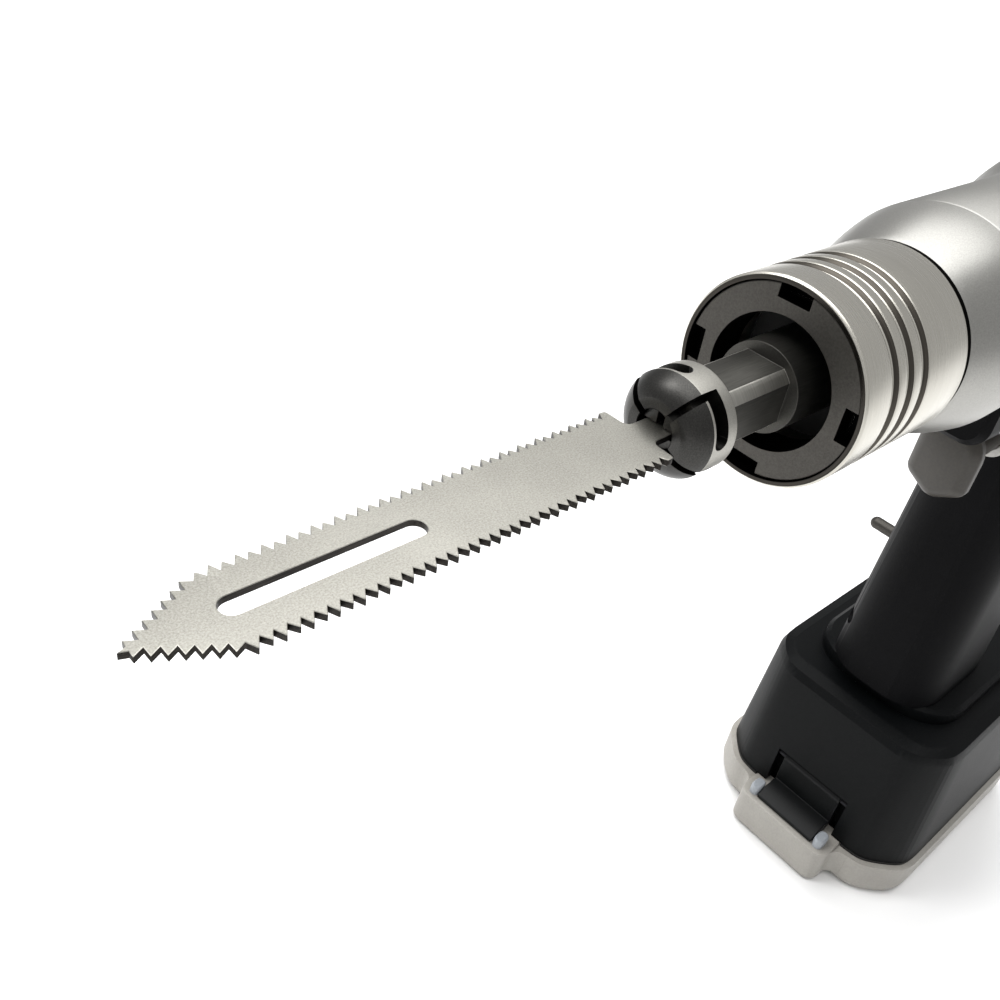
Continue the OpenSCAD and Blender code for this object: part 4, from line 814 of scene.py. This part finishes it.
        # Round-corner faces ahead of the full round get the lighter corner colour: their turned finish plus a
        # painted reflection
        for face in shaft.faces:
            centre = face.calc_center_median() - at(0)
            before_round = centre.x < self.flats_end * MM - MESH_MERGE
            outside = math.hypot(centre.y, centre.z) > self.stub_cover * MM
            turned = (max(abs(face.normal.y), abs(face.normal.z)) < self.corner_tilt
                      and abs(face.normal.x) < self.end_tilt)
            face.material_index = 1 if before_round and outside and turned else 0
        self.bench.place(shaft, "flatted_shaft", "shaft", SHAFT_STEEL, SHAFT_CORNER,
                         replaces=("drive_shaft",), bevel_mm=0.1, bevel_degrees=60, smooth_degrees=25)


@dataclass
class Collar:
    """Ribbed collar, notched ring nut and what shows inside them. Lengths in millimetres."""

    bench: Bench
    radius: float = 16.35
    length: float = 28.4
    pocket_r: float = 15.3
    pocket_len: float = 3.1
    bore_r: float = 13.3
    groove_stations: tuple[float, ...] = (7.4, 11.5, 15.6)
    groove_half: float = 1.05
    groove_depth: float = 0.7
    groove_stretch: float = 1.25
    groove_steps: int = 8
    nut_front: float = 3.0
    chamfer: float = 0.35
    chamfer_slope: float = 0.9
    edge_fillet: float = 0.12
    mouth_fillet: float = 0.08
    bore_fillet: float = 0.1
    rear_fillet: float = 0.3
    skin: float = 0.05
    face_tilt: float = 0.9
    wall_tilt: float = 0.5
    steps: int = 192

    def build(self) -> None:
        """Makes the collar and dresses the nut; the nut's front keeps its own finish while its other faces
        and the collar's bore get painted shade.
        """
        outer = [Corner(self.pocket_r, 0.0, self.mouth_fillet),
                 Corner(self.radius - self.chamfer, 0.0, self.edge_fillet),
                 Corner(self.radius, self.chamfer * self.chamfer_slope, self.edge_fillet)]
        for middle in self.groove_stations:
            for k in range(-self.groove_steps, self.groove_steps + 1):
                share = k / self.groove_steps
                depth = self.groove_depth / 2 * (1 + math.cos(math.pi * share))
                outer.append(Corner(self.radius - depth,
                                    middle + self.groove_half * share * self.groove_stretch))
        outer += [Corner(self.radius, self.length, self.rear_fillet),
                  Corner(self.bore_r, self.length, self.bore_fillet),
                  Corner(self.bore_r, self.pocket_len), Corner(self.pocket_r, self.pocket_len)]
        collar = spun(profile_points(outer), self.steps)
        for face in collar.faces:
            centre = face.calc_center_median() - at(0)
            # Pocket and bore get painted shade
            if math.hypot(centre.y, centre.z) < (self.pocket_r + self.skin) * MM:
                face.material_index = 2
            # The front face gets painted shade
            elif face.normal.x < -self.face_tilt:
                face.material_index = 1
            # Forward-facing walls of the grooves get painted shade
            elif face.normal.x < -self.wall_tilt and centre.x > self.nut_front * MM:
                face.material_index = 3
        self.bench.place(collar, "ribbed_collar", "collar", COLLAR_STEEL, COLLAR_FRONT_SHADE, PAINTED_SHADE,
                         GROOVE_WALL_SHADE, replaces=("guide_collar",), smooth_degrees=30)
        nut = self.bench.copy("ring_nut")
        for face in nut.faces:
            centre = face.calc_center_median() - at(0)
            # All but the nut's front faces, its notch walls among them, get painted shade
            in_front = abs(face.normal.x) > self.wall_tilt and centre.x < self.nut_front * MM
            face.material_index = 0 if in_front else 1
        self.bench.place(nut, "notched_ring_nut", "root", NUT_STEEL, PAINTED_SHADE, replaces=("ring_nut",),
                         bevel_mm=0.12)


@dataclass
class Housing:
    """Domed nose, barrel and rear cap. Lengths in millimetres."""

    bench: Bench
    nose_front: float = 28.9
    nose_back: float = 43.9
    front_r: float = 15.9
    back_r: float = 20.0
    outer_r: float = 16.2
    roundness: float = 0.4
    gap: float = 0.7
    gap_fade: int = 4
    edge_share: float = 0.03
    edge_drop: float = 10.0
    front_share: float = -0.05
    back_share: float = 0.999
    shadow_tilt: float = 0.7
    shadow_depth: float = 2.0
    flare_from: float = 76.0
    flare_to: float = 92.0
    moved_from: float = 84.5
    moved_to: float = 98.0
    step_height: float = 3.0
    skin: float = 0.1

    def nose(self) -> bmesh.types.BMesh:
        """The domed nose, leaner towards its front, which stands off the collar."""
        bm = self.bench.copy("nose_housing")
        for vert in bm.verts:
            place = vert.co - at(0)
            radial = math.hypot(place.y, place.z)
            share = (place.x / MM - self.nose_front) / (self.nose_back - self.nose_front)
            if radial > self.outer_r * MM and self.front_share < share < self.back_share:
                rise = self.roundness * math.sin(math.pi / 2 * share) + (1 - self.roundness) * share
                edge = max(0.0, self.edge_share - share) * self.edge_drop
                scale = (self.front_r + (self.back_r - self.front_r) * rise - edge) * MM / radial
                set_back = self.gap * MM * (1 - max(0.0, share)) ** self.gap_fade
                vert.co = at(0) + Vector((place.x + set_back, place.y * scale, place.z * scale))
        # Forward faces near its front, seen in the gap to the collar, get painted shade
        shadow_end = at(self.nose_front + self.shadow_depth).x
        for face in bm.faces:
            shadowed = face.normal.x < -self.shadow_tilt and face.calc_center_median().x < shadow_end
            face.material_index = 1 if shadowed else 0
        return bm

    def barrel(self) -> bmesh.types.BMesh:
        """The barrel with its flare a little further back."""
        bm = self.bench.copy("main_barrel")
        for vert in bm.verts:
            place = vert.co - at(0)
            station, radial = place.x / MM, math.hypot(place.y, place.z) / MM
            on_flare = self.flare_from - self.skin < station < self.flare_to + self.skin
            outside = radial > self.back_r - self.skin
            past_step = station < self.flare_to - self.skin or radial > self.back_r + self.step_height
            if on_flare and outside and past_step:
                share = (station - self.flare_from) / (self.flare_to - self.flare_from)
                vert.co.x = at(self.moved_from + (self.moved_to - self.moved_from) * share).x
        return bm

    def build(self) -> None:
        """Dresses the aluminium housing and its screws."""
        self.bench.place(self.nose(), "slim_nose", "root", HOUSING_ALUMINIUM, PAINTED_SHADE,
                         replaces=("nose_housing",), bevel_mm=0.25)
        self.bench.place(self.barrel(), "flared_barrel", "root", HOUSING_ALUMINIUM,
                         replaces=("main_barrel",), bevel_mm=0.25)
        self.bench.dress("rear_cap", 0.25)
        self.bench.dress("cap_screws", 0.1)


@dataclass
class Handle:
    """Grip shells with the trigger and the safety pin. Lengths in millimetres."""

    bench: Bench
    trigger_travel: float = 6.0
    spring_room: float = 0.15

    def spring(self) -> None:
        """Dresses the trigger's spring and gives it a mesh of its own; its two ends are found but not used.
        """
        piece = self.bench.dress("trigger_spring", 0.0)
        corners = [vertex.co for vertex in piece.data.vertices]
        free_end, fixed_end = (pick(corners, key=lambda corner: corner.x) for pick in (min, max))
        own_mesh(piece)

    def build(self) -> None:
        """Dresses what shows of the handle."""
        for node in ("grip_left", "grip_right"):
            self.bench.dress(node, 0.35)
        self.bench.dress("trigger", 0.5)
        self.bench.dress("trigger_bush", 0.35)
        self.bench.dress("safety_pin", 0.1, NUT_STEEL)
        self.bench.dress("grip_screws", 0.15)
        self.bench.dress("saddle_pins", 0.1)
        self.spring()


@dataclass
class BatteryFoot:
    """Battery case, base lid, hinge and latch. Lengths in millimetres."""

    bench: Bench
    rim_front: float = 106.5
    block_half: float = 16.5
    block_top: float = 14.0
    rim_low: float = 3.0
    rim_top: float = 13.0
    web_r: float = 4.0
    web_steps: int = 8
    web_foot: float = 0.45
    web_foot_share: float = 0.35
    overlap: float = 0.4
    skin: float = 0.1
    case_front: float = 108.0
    case_half: float = 34.0
    corner_reach: float = 18.0
    corner_cuts: tuple[int, int] = (3, 10)
    corner_push: float = 4.5
    lip: float = 1.5

    def rounded(self, bm: bmesh.types.BMesh, out: float = 0.0) -> bmesh.types.BMesh:
        """Rounds the foot's two front corners further, inner and outer walls alike.

        Args:
            bm: the case, lid or seal.
            out: how far it stands out from the case.
        Returns:
            The same bmesh.
        """
        front, half = self.case_front - out, self.case_half + out
        first, last = self.corner_cuts
        for step in range(first, last + 1):
            inset = self.corner_reach * step / last
            for point, normal in ((at(front + inset), (1, 0, 0)), (at(0, half - inset), (0, 1, 0)),
                                  (at(0, inset - half), (0, 1, 0))):
                bmesh.ops.bisect_plane(bm, geom=[*bm.verts, *bm.edges, *bm.faces], plane_co=point,
                                       plane_no=normal, dist=MESH_MERGE)
        for vert in bm.verts:
            along = 1 - max(0.0, (vert.co.x - at(front).x) / MM) / self.corner_reach
            aside = 1 - max(0.0, half - abs(vert.co.y) / MM) / self.corner_reach
            if along > 0 and aside > 0:
                push = self.corner_push * MM * (along * aside) ** 2
                vert.co.x += push
                vert.co.y -= math.copysign(push, vert.co.y)
        return bm

    def corner_webs(self) -> bmesh.types.BMesh:
        """Hollow fillets where the lid's front block meets its rim."""
        webs = []
        for side in (-1, 1):
            web = bmesh.new()
            low = COLLAR_FACE_X / MM + self.rim_front
            wall = side * self.block_half
            points = [(low - self.web_r, wall - side * self.overlap)]
            for k in range(self.web_steps + 1):
                turn = math.radians(90 * k / self.web_steps - 90)
                points.append((low - self.web_r * (1 - math.cos(turn)),
                               wall + side * self.web_r * (1 + math.sin(turn))))
            points += [(low + self.overlap, wall + side * self.web_r),
                       (low + self.overlap, wall - side * self.overlap)]
            face = web.faces.new([web.verts.new((x * MM, y * MM, self.rim_low * MM)) for x, y in points])
            for height, share in ((self.rim_top, 1.0), (self.web_foot, self.web_foot_share)):
                grown = bmesh.ops.extrude_face_region(web, geom=[face], use_keep_orig=True)["geom"]
                for vert in (item for item in grown if isinstance(item, bmesh.types.BMVert)):
                    vert.co.x += (low + self.rim_low - vert.co.x / MM) * (1 - share) * MM
                    vert.co.y += (wall - side * self.overlap - vert.co.y / MM) * (1 - share) * MM
                    vert.co.z = height * MM
            web.faces.remove(face)
            bmesh.ops.remove_doubles(web, verts=web.verts, dist=MESH_MERGE)
            bmesh.ops.recalc_face_normals(web, faces=web.faces)
            webs.append(web)
        return joined(webs)

    def build(self) -> None:
        """Dresses what shows of the foot."""
        case = self.rounded(self.bench.copy("battery_case"))
        self.bench.place(case, "rounded_case", "root", CASE_PLASTIC, replaces=("battery_case",), bevel_mm=0.4,
                         weighted=True)
        seal = self.rounded(self.bench.copy("lid_seal"))
        self.bench.place(seal, "rounded_seal", self.bench.body["lid_seal"], SEAL_RUBBER,
                         replaces=("lid_seal",))
        lid = combined(self.rounded(self.bench.copy("base_lid"), self.lip), self.corner_webs(), Join.ADD)
        for face in lid.faces:
            centre = face.calc_center_median()
            is_lug = centre.z > (self.block_top + self.skin) * MM and centre.x < at(self.case_front).x
            face.material_index = 1 if is_lug else 0
        self.bench.place(lid, "filleted_lid", "lid", LID_PLASTIC, LUG_PLASTIC, replaces=("base_lid",),
                         bevel_mm=0.35)
        self.bench.dress("latch_tongue", 0.3, LATCH_PLASTIC)
        self.bench.dress("hinge_pin", 0.1)
        self.bench.paint("latch_pin", BLACK_STEEL)


@dataclass(frozen=True)
class SoftBox:
    """A soft box: where it hangs, the point it faces and its size in metres, and its power in watts."""

    name: str
    place: tuple[float, float, float]
    target: tuple[float, float, float]
    size: tuple[float, float]
    power: float
    mirrored: bool = True

    def hang(self) -> None:
        """Hangs the box, which bright metal shows if it is mirrored."""
        data = bpy.data.lights.new(self.name, "AREA")
        data.shape, data.energy = "RECTANGLE", self.power
        data.size, data.size_y = self.size
        light = bpy.data.objects.new(self.name, data)
        light.visible_glossy = self.mirrored
        aim = (Vector(self.target) - Vector(self.place)).to_track_quat("-Z", "Y")
        light.matrix_world = Matrix.Translation(Vector(self.place)) @ aim.to_matrix().to_4x4()
        bpy.context.scene.collection.objects.link(light)


SOFT_BOXES = (
    SoftBox("top_box", (-0.05, 0.25, 1.3), (-0.05, 0.25, 0.0), (1.7, 1.3), 21.0),
    SoftBox("left_box", (-0.9, 0.9, 1.5), (-0.10, 0.0, 0.18), (0.5, 0.7), 8.0),
    SoftBox("floor_box", (1.1, 1.4, 1.6), (1.1, 1.4, 0.0), (2.0, 2.0), 38.0, mirrored=False),
)


@dataclass
class Studio:
    """Pale floor, soft light and the photograph's camera. Lengths in metres but for the lens."""

    eye: tuple[float, float, float] = (-0.27213, -0.06522, 0.27478)
    right: tuple[float, float, float] = (0.74905, -0.65023, 0.12696)
    down: tuple[float, float, float] = (-0.32, -0.5229, -0.79005)
    lens_mm: float = 36.056
    sensor_mm: float = 36.0
    near: float = 0.01
    shift: tuple[float, float] = (-0.003, 0.0017)
    floor_half: float = 6.0
    floor_cloud_mm: float = 400.0
    floor_greys: tuple[str, str] = ("f4f4f4", "f8f8f8")
    floor_roughness: float = 0.9
    sky: float = 0.5

    def camera(self) -> None:
        """Sets up the photograph's camera."""
        data = bpy.data.cameras.new("photo_camera")
        data.lens, data.sensor_width, data.clip_start = self.lens_mm, self.sensor_mm, self.near
        data.shift_x, data.shift_y = self.shift
        camera = bpy.data.objects.new("photo_camera", data)
        right = Vector(self.right).normalized()
        up = (-Vector(self.down)).normalized()
        back = right.cross(up).normalized()
        up = back.cross(right)
        turn = Matrix((right, up, back)).transposed().to_4x4()
        camera.matrix_world = Matrix.Translation(Vector(self.eye)) @ turn
        bpy.context.scene.collection.objects.link(camera)
        bpy.context.scene.camera = camera

    def floor(self) -> None:
        """Lays the pale floor."""
        bm = bmesh.new()
        bmesh.ops.create_grid(bm, x_segments=1, y_segments=1, size=self.floor_half)
        mesh = bpy.data.meshes.new("floor")
        bm.to_mesh(mesh)
        bm.free()
        tree, shader, material = new_material("pale_studio_floor")
        cloud = noise(tree, object_vector(tree), self.floor_cloud_mm)
        greys = [linear(code) for code in self.floor_greys]
        tree.links.new(ramp(tree, cloud, list(zip(PLASTIC_STOPS, greys))), shader.inputs["Base Color"])
        shader.inputs["Roughness"].default_value = self.floor_roughness
        mesh.materials.append(material)
        floor = bpy.data.objects.new("floor", mesh)
        bpy.context.scene.collection.objects.link(floor)

    def build(self) -> None:
        """Sets the whole studio."""
        world = bpy.data.worlds.new("studio_world")
        world.use_nodes = True
        background = world.node_tree.nodes["Background"]
        background.inputs["Color"].default_value = (1.0, 1.0, 1.0, 1.0)
        background.inputs["Strength"].default_value = self.sky
        bpy.context.scene.world = world
        bpy.context.scene.view_settings.view_transform = "Standard"
        for box in SOFT_BOXES:
            box.hang()
        self.camera()
        self.floor()


def main(frame: dict) -> None:
    """Dresses the whole saw.
    """
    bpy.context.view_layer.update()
    bench = Bench(frame)
    for node in frame["nodes"]:
        bench.paint(node)
    for assembly in (SawBlade(bench), Chuck(bench), Collar(bench), Housing(bench), Handle(bench),
                     BatteryFoot(bench)):
        assembly.build()
        log.info("%s built", type(assembly).__name__)
    Studio().build()


if __name__ == "__main__":
    logging.basicConfig(level=logging.INFO)
    main(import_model())
